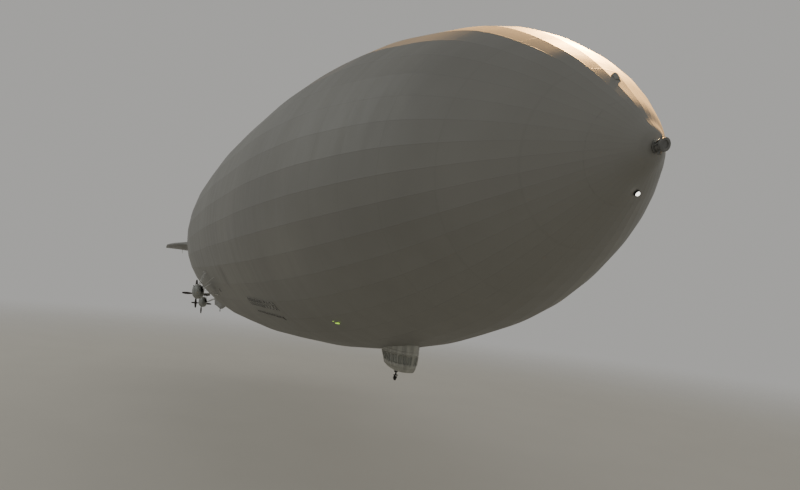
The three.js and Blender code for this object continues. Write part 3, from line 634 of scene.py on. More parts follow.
def lamp_lens(name, colour, strength):
    """A lit lens, brighter where its ribs gather the light."""
    finish = Finish(name, scaled(colour, 0.8), 0.2, Coat_Weight=0.5, Emission_Strength=strength)
    ribs = finish.node(
        "ShaderNodeTexWave", {"bands_direction": "X"},
        {"Vector": finish.place(), "Scale": 60.0, "Distortion": 0.5}, 1)
    finish.set("Emission Color", finish.mix(ribs, scaled(colour, 0.75), colour))
    return finish.material


def studio_floor(colour):
    """A pale floor with the faintest mottling, which fades out far from the ship."""
    finish = Finish("studio_floor", colour, 0.9, Specular_IOR_Level=0.1)
    place = finish.place()
    mottle = finish.noise(place, 0.4, 4.0)
    finish.set("Base Color", finish.mix(mottle, scaled(colour, 0.96), scaled(colour, 1.03)))
    away = finish.node("ShaderNodeVectorMath", {"operation": "LENGTH"}, {0: place}, "Value")
    clear = finish.node("ShaderNodeBsdfTransparent")
    floor = Value(finish, finish.surface.outputs[0])
    faded = finish.step(away, *FLOOR_FADE)
    mixed = finish.node("ShaderNodeMixShader", inputs={0: faded, 1: floor, 2: clear})
    output = finish.tree.nodes["Material Output"]
    finish.tree.links.new(mixed.socket, output.inputs["Surface"])
    return finish.material


class Finishes:
    """Every finish by its name, each made once when it is first asked for."""

    made = {}

    @classmethod
    def get(cls, name):
        if name not in cls.made:
            cls.made[name] = cls.make(name)
        return cls.made[name]

    @staticmethod
    def make(name):
        colours = bpy.context.scene.airship_colours
        maker, *given = {
            "doped_cloth": (doped_cloth, colours.cloth),
            "tail_cloth": (tail_cloth, scaled(colours.cloth, 0.82)),
            "car_sheet": (sheet_metal, colours.car, 0.095),
            "nacelle_sheet": (sheet_metal, colours.nacelle, 0.085),
            "dark_metal": (bare_metal, colours.dark_metal, 0.45),
            "bright_metal": (bare_metal, colours.bright_metal, 0.36),
            "blade_wood": (varnished_wood, colours.blade, 2.0),
            "fitting_wood": (varnished_wood, colours.fitting, 4.0, 0.45),
            "wheel_rubber": (wheel_rubber, colours.rubber),
            "clear_pane": (window_glass, (0.42, 0.44, 0.4), 0.5, 0.5),
            # Opaque and near black: painted shade for the dark inside behind windows and openings.
            "cabin_pane": (window_glass, (0.008, 0.009, 0.009), 0.0, 0.08),
            "mooring_metal": (bare_metal, scaled(colours.bright_metal, 0.32), 0.5, 0.3),
            "white_lens": (lamp_lens, (1.0, 0.97, 0.9), 3.0),
            "green_lens": (lamp_lens, (0.55, 1.0, 0.06), 1.3),
            "red_lens": (lamp_lens, (1.0, 0.06, 0.03), 1.6),
        }[name]
        return maker(name, *given)


def dress(node, finish_name):
    """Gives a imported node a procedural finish."""
    piece = frame["nodes"][node]
    piece.data.materials.clear()
    piece.data.materials.append(Finishes.get(finish_name))


def on_flat_edge(first, second):
    """True for a mesh edge that lies along an edge between two of the hull's flats."""
    if abs(first.x - second.x) < 1e-6:
        return False
    angle = math.degrees(math.atan2(first.y, first.z))
    return abs((angle % FLAT_ANGLE) - FLAT_ANGLE / 2) < 0.05


def skin_ring(station, settings):
    """A ring of the hull's cloth, drawn in a little between the frames."""
    bay = ((LIFT_STATION - station) / settings.bay_length + 0.25) % 1
    ease = 1.0
    for taut, loose in (BOW_EASE, TAIL_EASE):
        ease *= min(1.0, max(0.0, (station - taut) / (loose - taut)))
    sag = ease * settings.sag / METRE * math.sin(math.pi * ((bay + 0.5) % 1))
    return [
        at(station, (side + step / FLAT_COLUMNS - 0.5) * FLAT_ANGLE, -sag)
        for side in range(FLATS) for step in range(FLAT_COLUMNS)
    ]


def skin_piece(name, node, stations, settings, closed_end=False):
    """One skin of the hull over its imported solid. The skins meet flush."""
    rings = [skin_ring(station, settings) for station in stations]
    shape = Shape()
    shape.loft(rings, caps=False)
    if closed_end:
        shape.add(rings[-1], [tuple(range(len(rings[-1])))])
    piece = shape.build(name, "ship", ("doped_cloth",), "hull_fabric", sharp=on_flat_edge)
    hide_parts(node)


class AIRSHIP_OT_hull(bpy.types.Operator):
    """Cover the hull with doped cloth, from the bow cap to the tail cone"""

    bl_idname = "airship.hull"
    bl_label = "Hull skin"

    def execute(self, context):
        settings = context.scene.airship_hull
        cap = spread(0.03, BOW_CAP_END - 0.12, 14, 1.7) + [BOW_CAP_END - 0.05, BOW_CAP_END - 0.003]
        skin_piece("bow_cap_skin", "bow_cap", cap, settings)
        fore, aft = EVEN_RINGS
        front = [BOW_CAP_END, BOW_CAP_END + 0.05] + spread(BOW_CAP_END + 0.12, fore, 48, 1.35)
        middle = spread(fore, aft, int((aft - fore) / settings.ring_step))[1:]
        back = spread(aft, TAIL_CONE_START, 30)[1:]
        skin_piece("hull_skin", "hull_envelope", front + middle + back, settings)
        cone = spread(TAIL_CONE_START + 0.005, TAIL_TIP, 14)
        skin_piece("tail_cone_skin", "tail_cone", cone, settings, closed_end=True)
        self.hoods()
        return {"FINISHED"}

    def hoods(self):
        """Ventilation hoods on the hull's back: a sloping cowl on a raised foot, with a near-black plate at
        its back as painted shade for its dark opening.
        """
        shape = Shape()
        for station in HOOD_STATIONS:
            self.hood(shape, station)
        shape.build("vent_hoods", "ship", ("nacelle_sheet", "cabin_pane"), "car_metal", bevel=0.0012)

    def hood(self, shape, station):
        share = BOW_HOOD_SHARE if station == HOOD_STATIONS[0] else 1.0
        length, width, height = (size * share for size in HOOD_SIZE)
        lean = math.atan2(hull_radius(station + 1) - hull_radius(station - 1), 2)
        turn = Matrix.Rotation(lean, 3, "Y")
        foot = at(station, 180)

        def spot(ahead, across, up):
            return foot + turn @ Vector((ahead, across, up)) * METRE

        rim = 0.05 * share
        shape.loft([
            [spot(x, y, -0.12), spot(x, -y, -0.12), spot(x, -y, rim), spot(x, y, rim)]
            for x, y in ((length / 2 + rim, width / 2 + rim), (-length / 2 - rim, width / 2 + rim))
        ])
        rings = []
        for run in spread(0, 1, 8):
            ahead = length / 2 - run * length
            top = height * (0.3 + 0.7 * math.sin(run * math.pi / 2) ** 0.7)
            half = width / 2 * (0.8 + 0.2 * run)
            rings.append([
                spot(ahead, half * math.cos(arc), max(0.0, top * math.sin(arc) ** 0.6))
                for arc in (math.pi * step / 12 for step in range(13))
            ])
        shape.loft(rings)
        # A near-black plate behind the closed cowl: painted shade for the hood's dark open back.
        back = -length / 2 - 0.012
        shape.loft([
            [spot(back + x, y * width / 2, z * height)
             for y, z in ((-0.82, 0.18), (0.82, 0.18), (0.7, 0.76), (-0.7, 0.76))]
            for x in (0.02, -0.005)
        ], slot=1)


class AIRSHIP_OT_bow(bpy.types.Operator):
    """Fit the mooring spindle, the bow lamp and the side lights"""

    bl_idname = "airship.bow"
    bl_label = "Bow fittings"

    def execute(self, context):
        self.mooring()
        self.bow_lamp()
        for side, sign in SIDES:
            self.side_light(side, sign)
        return {"FINISHED"}

    def mooring(self):
        """The spindle with its bolted flanges, two lugs with pins, side blocks and a small drum."""
        nose = Vector((along(0), 0, 0))
        shape = Shape()
        profile = (
            (-0.9, 0.3), (0.02, 0.3), (0.02, 0.4), (0.1, 0.4), (0.12, 0.3), (0.3, 0.27), (0.36, 0.3),
            (0.5, 0.3), (0.5, 0.42), (0.61, 0.42), (0.62, 0.4), (0.62, 0.24), (0.57, 0.23), (0.57, 0.0),
        )
        shape.lathe(full_size(profile), nose, (1, 0, 0), 48)
        for turn in turns_of(12):
            head = nose + Vector((0.105, 0.36 * math.cos(turn), 0.36 * math.sin(turn))) * METRE
            shape.lathe([(0, 0.0016), (0.0016, 0.0016)], head, (1, 0, 0), 6)
        for sign in (-1, 1):
            lug = nose + Vector((0.3, 0, sign * 0.4)) * METRE
            shape.block(lug, (0.02, 0.012, 0.022))
            head = lug + Vector((0, 0, sign * 0.008))
            shape.lathe([(-0.009, 0.008), (0.009, 0.008)], head, (0, 1, 0), 20)
            side = nose + Vector((0.2, sign * 0.32, 0.0)) * METRE
            shape.block(side, (0.022, 0.01, 0.008))
        drum = nose + Vector((0.12, -0.2, 0.28)) * METRE
        reel = [(-0.014, 0.007), (-0.014, 0.011), (-0.011, 0.011), (-0.011, 0.008)]
        reel += [(-end, radius) for end, radius in reversed(reel)]
        shape.lathe(reel, drum, (0, 1, 0.3), 24, slot=1)
        finishes = ("mooring_metal", "bright_metal")
        piece = shape.build("mooring_fitting", "ship", finishes, "dark_metal", bevel=0.0006)
        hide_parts("mooring_spindle")

    def bow_lamp(self):
        foot, out = at(*BOW_LAMP), upright(*BOW_LAMP)
        shape = Shape()
        body = ((-0.008, 0.0), (-0.008, 0.019), (0.01, 0.019), (0.014, 0.017), (0.014, 0.0))
        lens = ((0.014, 0.0), (0.014, 0.0145), (0.022, 0.0135), (0.027, 0.009), (0.029, 0.0))
        shape.lathe(body, foot, out, 40)
        shape.lathe(lens, foot, out, 32, slot=1)
        piece = shape.build("bow_lamp_body", "ship", ("dark_metal", "white_lens"), "lamp_glass")
        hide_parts("bow_lamp")

    def side_light(self, side, sign):
        """A low stream-lined housing with two long lenses in line."""
        shape = Shape()
        station, angle = SIDE_LIGHT
        outward = upright(station, sign * angle)
        centre = at(station, sign * angle)
        side_way = outward.cross(Vector((1, 0, 0))).normalized()
        for middle, length, aside, wide, tall, slot in SIDE_LIGHT_PARTS:
            rings = []
            for share in spread(0.01, 0.99, 14):
                swell = math.sin(math.pi * share) ** 0.45
                ahead = Vector((middle + (0.5 - share) * length, 0, 0))
                rings.append([
                    centre + (ahead + side_way * (wide * swell * math.cos(arc) + sign * aside)
                              + outward * (tall * swell * math.sin(arc) + 0.02)) * METRE
                    for arc in turns_of(20)
                ])
            shape.loft(rings, slot)
        tint = "green" if side == "starboard" else "red"
        finishes = ("dark_metal", f"{tint}_lens")
        piece = shape.build(f"side_light_{side}_body", "ship", finishes, f"{tint}_glass")
        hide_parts(f"side_light_{side}")


class AIRSHIP_OT_windows(bpy.types.Operator):
    """Set the promenade windows, the lower windows and the boarding hatches into the hull"""

    bl_idname = "airship.windows"
    bl_label = "Cabin windows"

    def execute(self, context):
        settings = context.scene.airship_windows
        for side, sign in SIDES:
            shape = Shape()
            for depth, lead in ((settings.upper_row, 0.0), (settings.lower_row, 0.3)):
                for index in range(settings.count):
                    start = settings.first_station + lead + index * settings.pitch
                    length = settings.pitch * WINDOW_SHARE
                    self.window(shape, sign, start, length, depth, WINDOW_HEIGHT, index < BRACED_WINDOWS)
            for window in OTHER_WINDOWS:
                self.window(shape, sign, *window)
            self.hatch(shape, sign, *HATCH)
            finishes = ("cabin_pane", "doped_cloth", "bright_metal")
            shape.build(f"cabin_windows_{side}", "ship", finishes, "hull_fabric", bevel=0.0006)
        return {"FINISHED"}

    def window(self, shape, sign, start, length, depth, height, braced=False):
        """A near-black pane of painted shade in a narrow frame. A braced one has pale slanting bars across
        it.
        """
        def face(station, deep, out):
            return at(station, sign * math.degrees(math.acos(deep / hull_radius(station))), out)

        top, low = depth - height / 2, depth + height / 2
        end, rim = start + length, 0.05
        # The pane is opaque and near black: painted shade for the cabin behind it.
        shape.patch(face, oblong(start, end, top, low), -0.05, 0.045)
        for bar in (
            (start - rim, end + rim, top - rim, top), (start - rim, end + rim, low, low + rim),
            (start - rim, start, top, low), (end, end + rim, top, low),
        ):
            shape.patch(face, oblong(*bar), -0.05, 0.075, slot=1)
        if braced:
            wide = 0.17
            middle = (start + end) / 2
            for foot, head in ((start, middle), (end - wide, middle)):
                corners = ((head, top), (head + wide, top), (foot + wide, low), (foot, low))
                shape.patch(face, corners, -0.02, 0.065, slot=2)

    def hatch(self, shape, sign, start, length, angle, height):
        """A boarding hatch: a flush door with a raised edge."""
        half = math.degrees(height / 2 / hull_radius(start))
        top, low = sign * (angle + half), sign * (angle - half)
        shape.patch(at, oblong(start, start + length, top, low), -0.03, 0.03, slot=1)


def car_bottom():
    return -(hull_radius(CAR_FRONT + CAR_LENGTH / 2) + CAR_DEPTH)


def car_point(turn, height, out=0.0):
    """A point on the control car. The turn in degrees runs from its nose to starboard."""
    front = CAR_FRONT + smooth_between(CAR_SECTIONS, height, 2) - out
    back = CAR_FRONT + CAR_LENGTH - smooth_between(CAR_SECTIONS, height, 3) + 3 * out
    half_width = CAR_HALF_WIDTH * smooth_between(CAR_SECTIONS, height, 1) + out
    angle = math.radians(turn)
    run = (1 - math.cos(angle)) / 2
    width = half_width * math.copysign(abs(math.sin(angle)) ** 0.8, math.sin(angle))
    taper = 1 if run < 0.3 else 1 - 0.55 * ((run - 0.3) / 0.7) ** 1.4
    return spot_at(front + (back - front) * run, -width * taper, car_bottom() + height)


def car_windows():
    """The first and last turn of each car window, on both sides."""
    return [(sign * first, sign * last) for sign in (1, -1) for first, last in CAR_WINDOWS]


class AIRSHIP_OT_control_car(bpy.types.Operator):
    """Build the control car's shell, window frames, panes and outside fittings"""

    bl_idname = "airship.control_car"
    bl_label = "Control car"

    def execute(self, context):
        self.shell(context.scene.airship_car)
        self.frames(context.scene.airship_car)
        self.panes()
        for node, finish in (
            ("control_car_deck", "fitting_wood"), ("control_car_partition", "car_sheet"),
            ("rudder_wheel_stand", "fitting_wood"), ("elevator_wheel_stand", "fitting_wood"),
            ("chart_table", "fitting_wood"), ("car_ladder", "bright_metal"),
        ):
            dress(node, finish)
        return {"FINISHED"}

    def shell(self, settings):
        turns = sorted({turn for window in CAR_WINDOWS for turn in window})
        turns += [turn for turn in range(124, 176, 6)]
        columns = [0.0]
        for turn in turns + [180.0]:
            gap = turn - columns[-1]
            parts = max(1, round(gap / 4))
            columns += [columns[-1] + gap / parts * (part + 1) for part in range(parts)]
        columns += [360 - turn for turn in reversed(columns[1:-1])]
        shape = Shape()
        shape.loft([[car_point(turn, height) for turn in columns] for height in CAR_HEIGHTS], caps=False)
        shape.add([car_point(turn, 0) for turn in columns], [tuple(range(len(columns)))])
        keep = []
        for face in shape.faces:
            middle = sum((shape.points[index] for index in face), Vector()) / len(face)
            if not self.in_window(middle, face):
                keep.append(face)
        shape.faces = keep
        shape.slots = [0] * len(keep)
        piece = shape.build("car_shell", "ship", ("car_sheet",), "car_metal", crease=40)
        wall = piece.modifiers.new("wall", "SOLIDIFY")
        wall.thickness = settings.wall
        wall.offset = -1
        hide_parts("control_car_shell")

    def in_window(self, middle, face):
        """True for a face of the shell, given with its middle, that a window takes away."""
        height = middle.z / METRE - car_bottom()
        if not CAR_SILL < height < CAR_HEAD or len(face) > 4:
            return False
        for first, last in CAR_WINDOWS:
            ends = [car_point(turn, height) for turn in (first, last)]
            low, high = min(ends[0].x, ends[1].x), max(ends[0].x, ends[1].x)
            if low < middle.x < high:
                return True
        return False

    def frames(self, settings):
        """The window frames with a bar in each, the bands round the car and its small lamps."""
        shape = Shape()
        for first, last in car_windows():
            turns = spread(first, last, 5)
            path = [car_point(turn, CAR_SILL, 0.01) for turn in turns]
            path += [car_point(turn, CAR_HEAD, 0.01) for turn in reversed(turns)]
            shape.tube(path, settings.frame, 8, loop=True)
            middle = (first + last) / 2
            bar = [car_point(middle, height, -0.03) for height in (CAR_SILL, 1.5, CAR_HEAD)]
            shape.tube(bar, settings.frame * 0.6, 6)
        around = spread(0, 360, 96)[:-1]
        for height, radius in CAR_BANDS:
            shape.tube([car_point(turn, height, 0.01) for turn in around], radius, 8, loop=True)
        for turn in CAR_LAMP_TURNS:
            lamp = car_point(turn, CAR_LAMP_HEIGHT, 0.02)
            shape.lathe([(-0.003, 0.0), (-0.003, 0.0035), (0.002, 0.0042), (0.0035, 0.0)], lamp,
                        lamp - Vector((along(CAR_FRONT + 3), 0, lamp.z)), 16, slot=1)
        shape.build("car_frames", "ship", ("car_sheet", "bright_metal"), "car_metal")

    def panes(self):
        shape = Shape()
        for first, last in car_windows():
            shape.patch(car_point, oblong(first, last, CAR_SILL, CAR_HEAD), -0.05, -0.03, steps=5)
        piece = shape.build("car_panes", "ship", ("clear_pane",), "clear_pane", crease=50)
        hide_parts("control_car_glazing")


def engine_places():
    """The name and the centre of each engine car."""
    for row, station, reach, angle in ENGINE_ROWS:
        for side, sign in SIDES:
            down = math.radians(angle)
            place = spot_at(station, -sign * reach * math.cos(down), -reach * math.sin(down))
            yield f"{row}_{side}", sign, place


def nacelle_point(ahead, turn, out=0.0):
    """A point on an engine car about its centre, at an angle up from its starboard side."""
    half_width = smooth_between(NACELLE_SECTIONS, ahead, 1) + out
    half_height = smooth_between(NACELLE_SECTIONS, ahead, 2) + out
    drop = smooth_between(NACELLE_SECTIONS, ahead, 3)
    angle = math.radians(turn)
    across = half_width * math.copysign(abs(math.cos(angle)) ** NACELLE_SQUARENESS, math.cos(angle))
    up = half_height * math.copysign(abs(math.sin(angle)) ** NACELLE_SQUARENESS, math.sin(angle))
    return Vector((ahead, -across, up - drop)) * METRE


class AIRSHIP_OT_engine_cars(bpy.types.Operator):
    """Build the four engine cars, with their intakes, windows, exhausts and wires"""

    bl_idname = "airship.engine_cars"
    bl_label = "Engine cars"

    def execute(self, context):
        settings = context.scene.airship_engines
        for label, sign, place in engine_places():
            finishes = ("nacelle_sheet", "dark_metal", "cabin_pane", "bright_metal")
            opening = self.intake_planes(sign, place)
            skin = self.skin(place).build(
                f"engine_car_{label}_skin", "ship", finishes, "car_metal", opening=opening)
            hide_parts(f"engine_car_{label}")
            fittings = self.fittings(settings, sign, place)
            fittings.build(f"engine_car_{label}_fittings", "ship", finishes, "car_metal")
            dress(f"engine_{label}", "dark_metal")
            dress(f"engine_mount_{label}", "bright_metal")
            self.wires(settings, label, sign, place)
        return {"FINISHED"}

    def intake_planes(self, sign, place):
        """The three planes that bound the intake, as a point and a direction into the opening."""
        corner = place + Vector((INTAKE_BACK, sign * INTAKE_INNER, INTAKE_LOW)) * METRE
        return [(corner, Vector((1, 0, 0))), (corner, Vector((0, sign, 0))), (corner, Vector((0, 0, 1)))]

    def skin(self, place):
        """The car's outer wall, with a bulged front and a lip behind."""
        shape = Shape()
        places = [(2.87, -0.3), (2.87, -0.16), (2.865, -0.05)]
        places += [(ahead, 0.0) for ahead in spread(2.85, -3.15, 40)]
        places += [(-3.12, -0.05), (-2.9, -0.08)]
        shape.loft([
            [place + nacelle_point(ahead, turn, out) for turn in NACELLE_TURNS] for ahead, out in places
        ])
        return shape

    def fittings(self, settings, sign, place):
        """The intake's throat and louvres, and the bands, windows, vents and exhausts on both sides."""
        shape = Shape()

        def skin(ahead, turn, out=0.0):
            return place + nacelle_point(ahead, turn, out)

        def inboard(ahead, turn, out=0.0):
            return skin(ahead, 180 - turn if sign == 1 else turn, out)

        shape.loft([[inboard(ahead, turn, -0.2) for turn in spread(-6, 84, 14)] + [inboard(ahead, 40, -0.5)]
                    for ahead in spread(2.7, 1.45, 8)], slot=1)
        for index in range(settings.slats):
            ahead = INTAKE_BACK + 0.1 + (2.6 - INTAKE_BACK - 0.1) * index / (settings.slats - 1)
            shape.patch(inboard, oblong(ahead, ahead + 0.03, 70, 6), -0.2, -0.07, slot=1, steps=10)
        for side_sign in (1, -1):
            self.side_details(shape, skin, side_sign)
        for ahead in NACELLE_BANDS:
            shape.tube([skin(ahead, turn) for turn in NACELLE_TURNS], 0.0014, 6, loop=True)
        return shape

    def side_details(self, shape, skin, side_sign):
        """Two small windows, a row of louvres and the exhaust stubs on one side."""
        def face(ahead, turn, out=0.0):
            return skin(ahead, turn if side_sign == 1 else 180 - turn, out)

        for ahead in NACELLE_WINDOWS:
            # Each window is an opaque near-black pane: painted shade for the car's inside.
            shape.patch(face, oblong(ahead, ahead - 0.55, 26, 6), -0.04, 0.012, slot=2, steps=3)
            for top, low in ((28, 26), (6, 4)):
                shape.patch(face, oblong(ahead + 0.05, ahead - 0.6, top, low), -0.03, 0.03, steps=3)
        for ahead in NACELLE_LOUVRES:
            shape.patch(face, oblong(ahead, ahead - 0.14, -12, -34), -0.02, 0.028)
        for ahead in NACELLE_EXHAUSTS:
            start = face(ahead, 44, -0.05)
            middle = face(ahead - 0.05, 44, 0.1)
            end = face(ahead - 0.26, 44, 0.16)
            shape.tube([start, middle, end], 0.0055, 12, slot=1)

    def wires(self, settings, label, sign, place):
        """Bracing wires that cross between the struts, and a pair that runs forward to the hull."""
        station = LIFT_STATION - place.x / METRE
        down = math.degrees(math.atan2(abs(place.y), -place.z))
        inward = Vector((0, -place.y, -place.z)).normalized()
        shape = Shape()
        for ahead in (1.25, -1.25):
            foot = place + (Vector((ahead, 0, 0)) + inward * 0.95) * METRE
            for way in (-1, 1):
                root = at(station - ahead * 1.15, sign * (down + way * 8.5), -0.1)
                other = at(station + ahead * 1.15, sign * (down + way * 8.5), -0.1)
                shape.tube([other, foot], settings.wire, 6)
                shape.lathe([(-0.006, 0.011), (-0.006, 0.019), (0.006, 0.019), (0.006, 0.011)],
                            root.lerp(foot, 0.06), foot - root, 16)
        for gap in (0.0, 0.45):
            foot = place + (Vector((1.4 - gap, 0, 0.55)) + inward * 0.75) * METRE
            shape.tube([at(station - 11.9 + gap, sign * (down + 4.6), -0.05), foot], settings.wire * 1.4, 8)
        shape.build(f"engine_wires_{label}", "ship", ("bright_metal",), "bright_metal")


class AIRSHIP_OT_propellers(bpy.types.Operator):
    """Carve the four pusher propellers, each with four twisted blades"""

    bl_idname = "airship.propellers"
    bl_label = "Propellers"

    def execute(self, context):
        for label, _, place in engine_places():
            hub = place + Vector((PROPELLER_PLANE, 0, -SHAFT_DROP)) * METRE
            shape = Shape()
            for turn in turns_of(4):
                self.blade(shape, hub, Matrix.Rotation(turn, 3, "X"))
            profile = ((0.33, 0.17), (0.33, 0.29), (0.29, 0.3), (-0.26, 0.3), (-0.3, 0.28), (-0.34, 0.2),
                       (-0.5, 0.16), (-0.6, 0.1), (-0.65, 0.0))
            shape.lathe(full_size(profile), hub, (1, 0, 0), 40, slot=1)
            for turn in turns_of(8):
                bolt = hub + Vector((-0.3, 0.235 * math.cos(turn), 0.235 * math.sin(turn))) * METRE
                shape.lathe([(0, 0.0028), (0.0035, 0.0028)], bolt, (-1, 0, 0), 6, slot=1)
            piece = shape.build(f"propeller_{label}_carved", f"propeller_{label}",
                                ("blade_wood", "dark_metal"), "propeller_wood", crease=50)
            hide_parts(f"propeller_{label}")
        return {"FINISHED"}

    def blade(self, shape, hub, turn):
        """One twisted blade with a rounded tip."""
        rings = []
        rounding, tip = BLADE_SECTIONS[-2][0], BLADE_SECTIONS[-1][0]
        for reach in spread(BLADE_SECTIONS[0][0], tip - 0.06, 22) + [tip - 0.02, tip]:
            chord = smooth_between(BLADE_SECTIONS, reach, 1)
            thick = max(0.012, smooth_between(BLADE_SECTIONS, reach, 2))
            if reach > rounding:
                run = (reach - rounding) / (tip - rounding)
                chord = BLADE_SECTIONS[-2][1] * math.sqrt(max(0.02, 1 - run ** 2))
            pitch = math.radians(smooth_between(BLADE_SECTIONS, reach, 3))
            ring = []
            for arc in turns_of(18):
                chordwise = chord / 2 * math.cos(arc)
                through = thick / 2 * math.sin(arc) * (1 + 0.35 * math.cos(arc))
                spot = Vector((
                    chordwise * math.sin(pitch) + through * math.cos(pitch),
                    chordwise * math.cos(pitch) - through * math.sin(pitch),
                    reach,
                ))
                ring.append(hub + turn @ spot * METRE)
            rings.append(ring)
        shape.loft(rings)


def half_thickness(reach):
    return between(FIN_SECTIONS, min(reach, FIN_SECTIONS[-1][0]), 2)


def nose_radius(reach):
    return half_thickness(reach) * NOSE_SHARE


class AIRSHIP_OT_tail(bpy.types.Operator):
    """Cover the fins, the rudders and the elevators"""

    bl_idname = "airship.tail"
    bl_label = "Tail surfaces"

    def execute(self, context):
        for label, angle in FIN_TURNS:
            turn = Matrix.Rotation(math.radians(angle), 3, "X")
            flap = f"rudder_{label}" if label in ("upper", "lower") else f"elevator_{label}"
            for name, body, shape in (
                (f"fin_{label}", "ship", self.fin(turn)), (flap, flap, self.flap(turn)),
            ):
                finishes = ("tail_cloth", "bright_metal")
                piece = shape.build(f"{name}_skin", body, finishes, "hull_fabric", crease=35)
                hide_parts(name)
        return {"FINISHED"}

    def fin(self, turn):
        shape = Shape()
        tip = FIN_SECTIONS[-1][0]
        reaches = spread(FIN_ROOT, 15.5, 6) + spread(15.5, tip - 0.1, 14)[1:] + [tip]
        rings = []
        for reach in reaches:
            leading = smooth_between(FIN_SECTIONS, reach, 1)
            trailing = HINGE_STATION - nose_radius(reach) - RUN_GAP
            half = half_thickness(reach) * (1 if reach < tip else 0.5)
            ring = []
            shares = [0.5 - 0.5 * math.cos(math.pi * step / 16) for step in range(17)]
            for side_sign in (1, -1):
                ordered = shares if side_sign == 1 else shares[-1:0:-1]
                for share in ordered:
                    thick = half * self.outline(share)
                    station = leading + (trailing - leading) * share
                    ring.append(turn @ spot_at(station, side_sign * thick, reach))
            rings.append(ring)
        shape.loft(rings)
        for reach in HINGE_REACHES:
            root = HINGE_STATION - nose_radius(reach) - RUN_GAP - 0.05
            length = HINGE_STATION + 0.2 - root
            middle = turn @ spot_at(root + length / 2, 0, reach)
            shape.block(middle, (length * METRE, 0.024, 0.024), turn, slot=1)
            pin = turn @ spot_at(HINGE_STATION, 0, reach - 0.45)
            axis = turn @ Vector((0, 0, 1))
            shape.lathe([(0, 0.0), (0, 0.01), (0.09, 0.01), (0.09, 0.0)], pin, axis, 24, slot=1)
        return shape

    def outline(self, share):
        """The fin's thickness over its chord: a round nose, then a long taper."""
        if share < FIN_THICKEST:
            return math.sqrt(max(0.0, 1 - (1 - share / FIN_THICKEST) ** 2)) ** 1.1
        return 1 - 0.5 * ((share - FIN_THICKEST) / (1 - FIN_THICKEST)) ** 1.3

    def flap(self, turn):
        """A rudder or elevator in spans. Where a hinge reaches in, the nose is cut away."""
        shape = Shape()
        inner = hull_radius(HINGE_STATION) + CONE_GAP
        shape.loft([self.root_ring(reach, turn) for reach in spread(FLAP_ROOT, inner, 8)])
        cuts = [inner]
        for reach in HINGE_REACHES:
            cuts += [reach - HINGE_SLOT, reach + HINGE_SLOT]
        cuts.append(FLAP_SECTIONS[-1][0])
        for index, (low, high) in enumerate(zip(cuts, cuts[1:])):
            slotted = index % 2 == 1
            reaches = spread(low, high, 1 if slotted else 6)
            shape.loft([self.flap_ring(reach, turn, slotted) for reach in reaches])
        for side_sign in (1, -1):
            root = nose_radius(HORN_REACH) * 0.6
            top = nose_radius(HORN_REACH) + 1.4
            rings = []
            for reach in (HORN_REACH - 0.05, HORN_REACH + 0.05):
                outline = (
                    (0.1, root), (1.15, root), (0.85, top - 0.1), (0.7, top), (0.55, top), (0.4, top - 0.1),
                )
                rings.append([
                    turn @ spot_at(HINGE_STATION + aft, side_sign * across, reach)
                    for aft, across in outline
                ])
            shape.loft(rings, slot=1)
        return shape

    def root_ring(self, reach, turn):
        """The flap's section below its hinge line, where its front edge follows the tail cone."""
        chord = between(FLAP_SECTIONS, reach, 1)
        front = 0.0
        while hull_radius(HINGE_STATION + front) + CONE_GAP > reach:
            front += 0.02
        radius = nose_radius(reach)
        flank = ((0, 1), (0.45, 0.62), (0.7, 0.36), (0.9, 0.16), (1, 0.04 / radius))
        afts = [front + (chord - front) * share for share in (0, 0.2, 0.4, 0.6, 0.8, 1)]
        spots = [(aft, -radius * between(flank, aft / chord, 1)) for aft in afts]
        spots += [(aft, -across) for aft, across in reversed(spots)]
        return [turn @ spot_at(HINGE_STATION + aft, across, reach) for aft, across in spots]

    def flap_ring(self, reach, turn, slotted):
        """The flap's section at a reach: a round nose, cut flat where it is slotted, and a taper."""
        chord = between(FLAP_SECTIONS, reach, 1)
        radius = nose_radius(reach)
        spots = []
        if slotted:
            spots += [(SLOT_END, radius * 0.97), (SLOT_END, -radius * 0.97)]
        else:
            for step in range(13):
                arc = math.radians(90 - 15 * step)
                spots.append((-radius * math.cos(arc), radius * math.sin(arc)))
        tail = [(0.45, 0.62), (0.7, 0.36), (0.9, 0.16)]
        spots += [(chord * share, -radius * wide) for share, wide in tail]
        spots += [(chord, -0.04), (chord, 0.04)]
        spots += [(chord * share, radius * wide) for share, wide in reversed(tail)]
        return [turn @ spot_at(HINGE_STATION + aft, across, reach) for aft, across in spots]


def about_axle(radius, across, turn):
    """A step from a wheel's centre, given in full-size metres."""
    return Vector((radius * math.cos(turn), across, radius * math.sin(turn))) * METRE


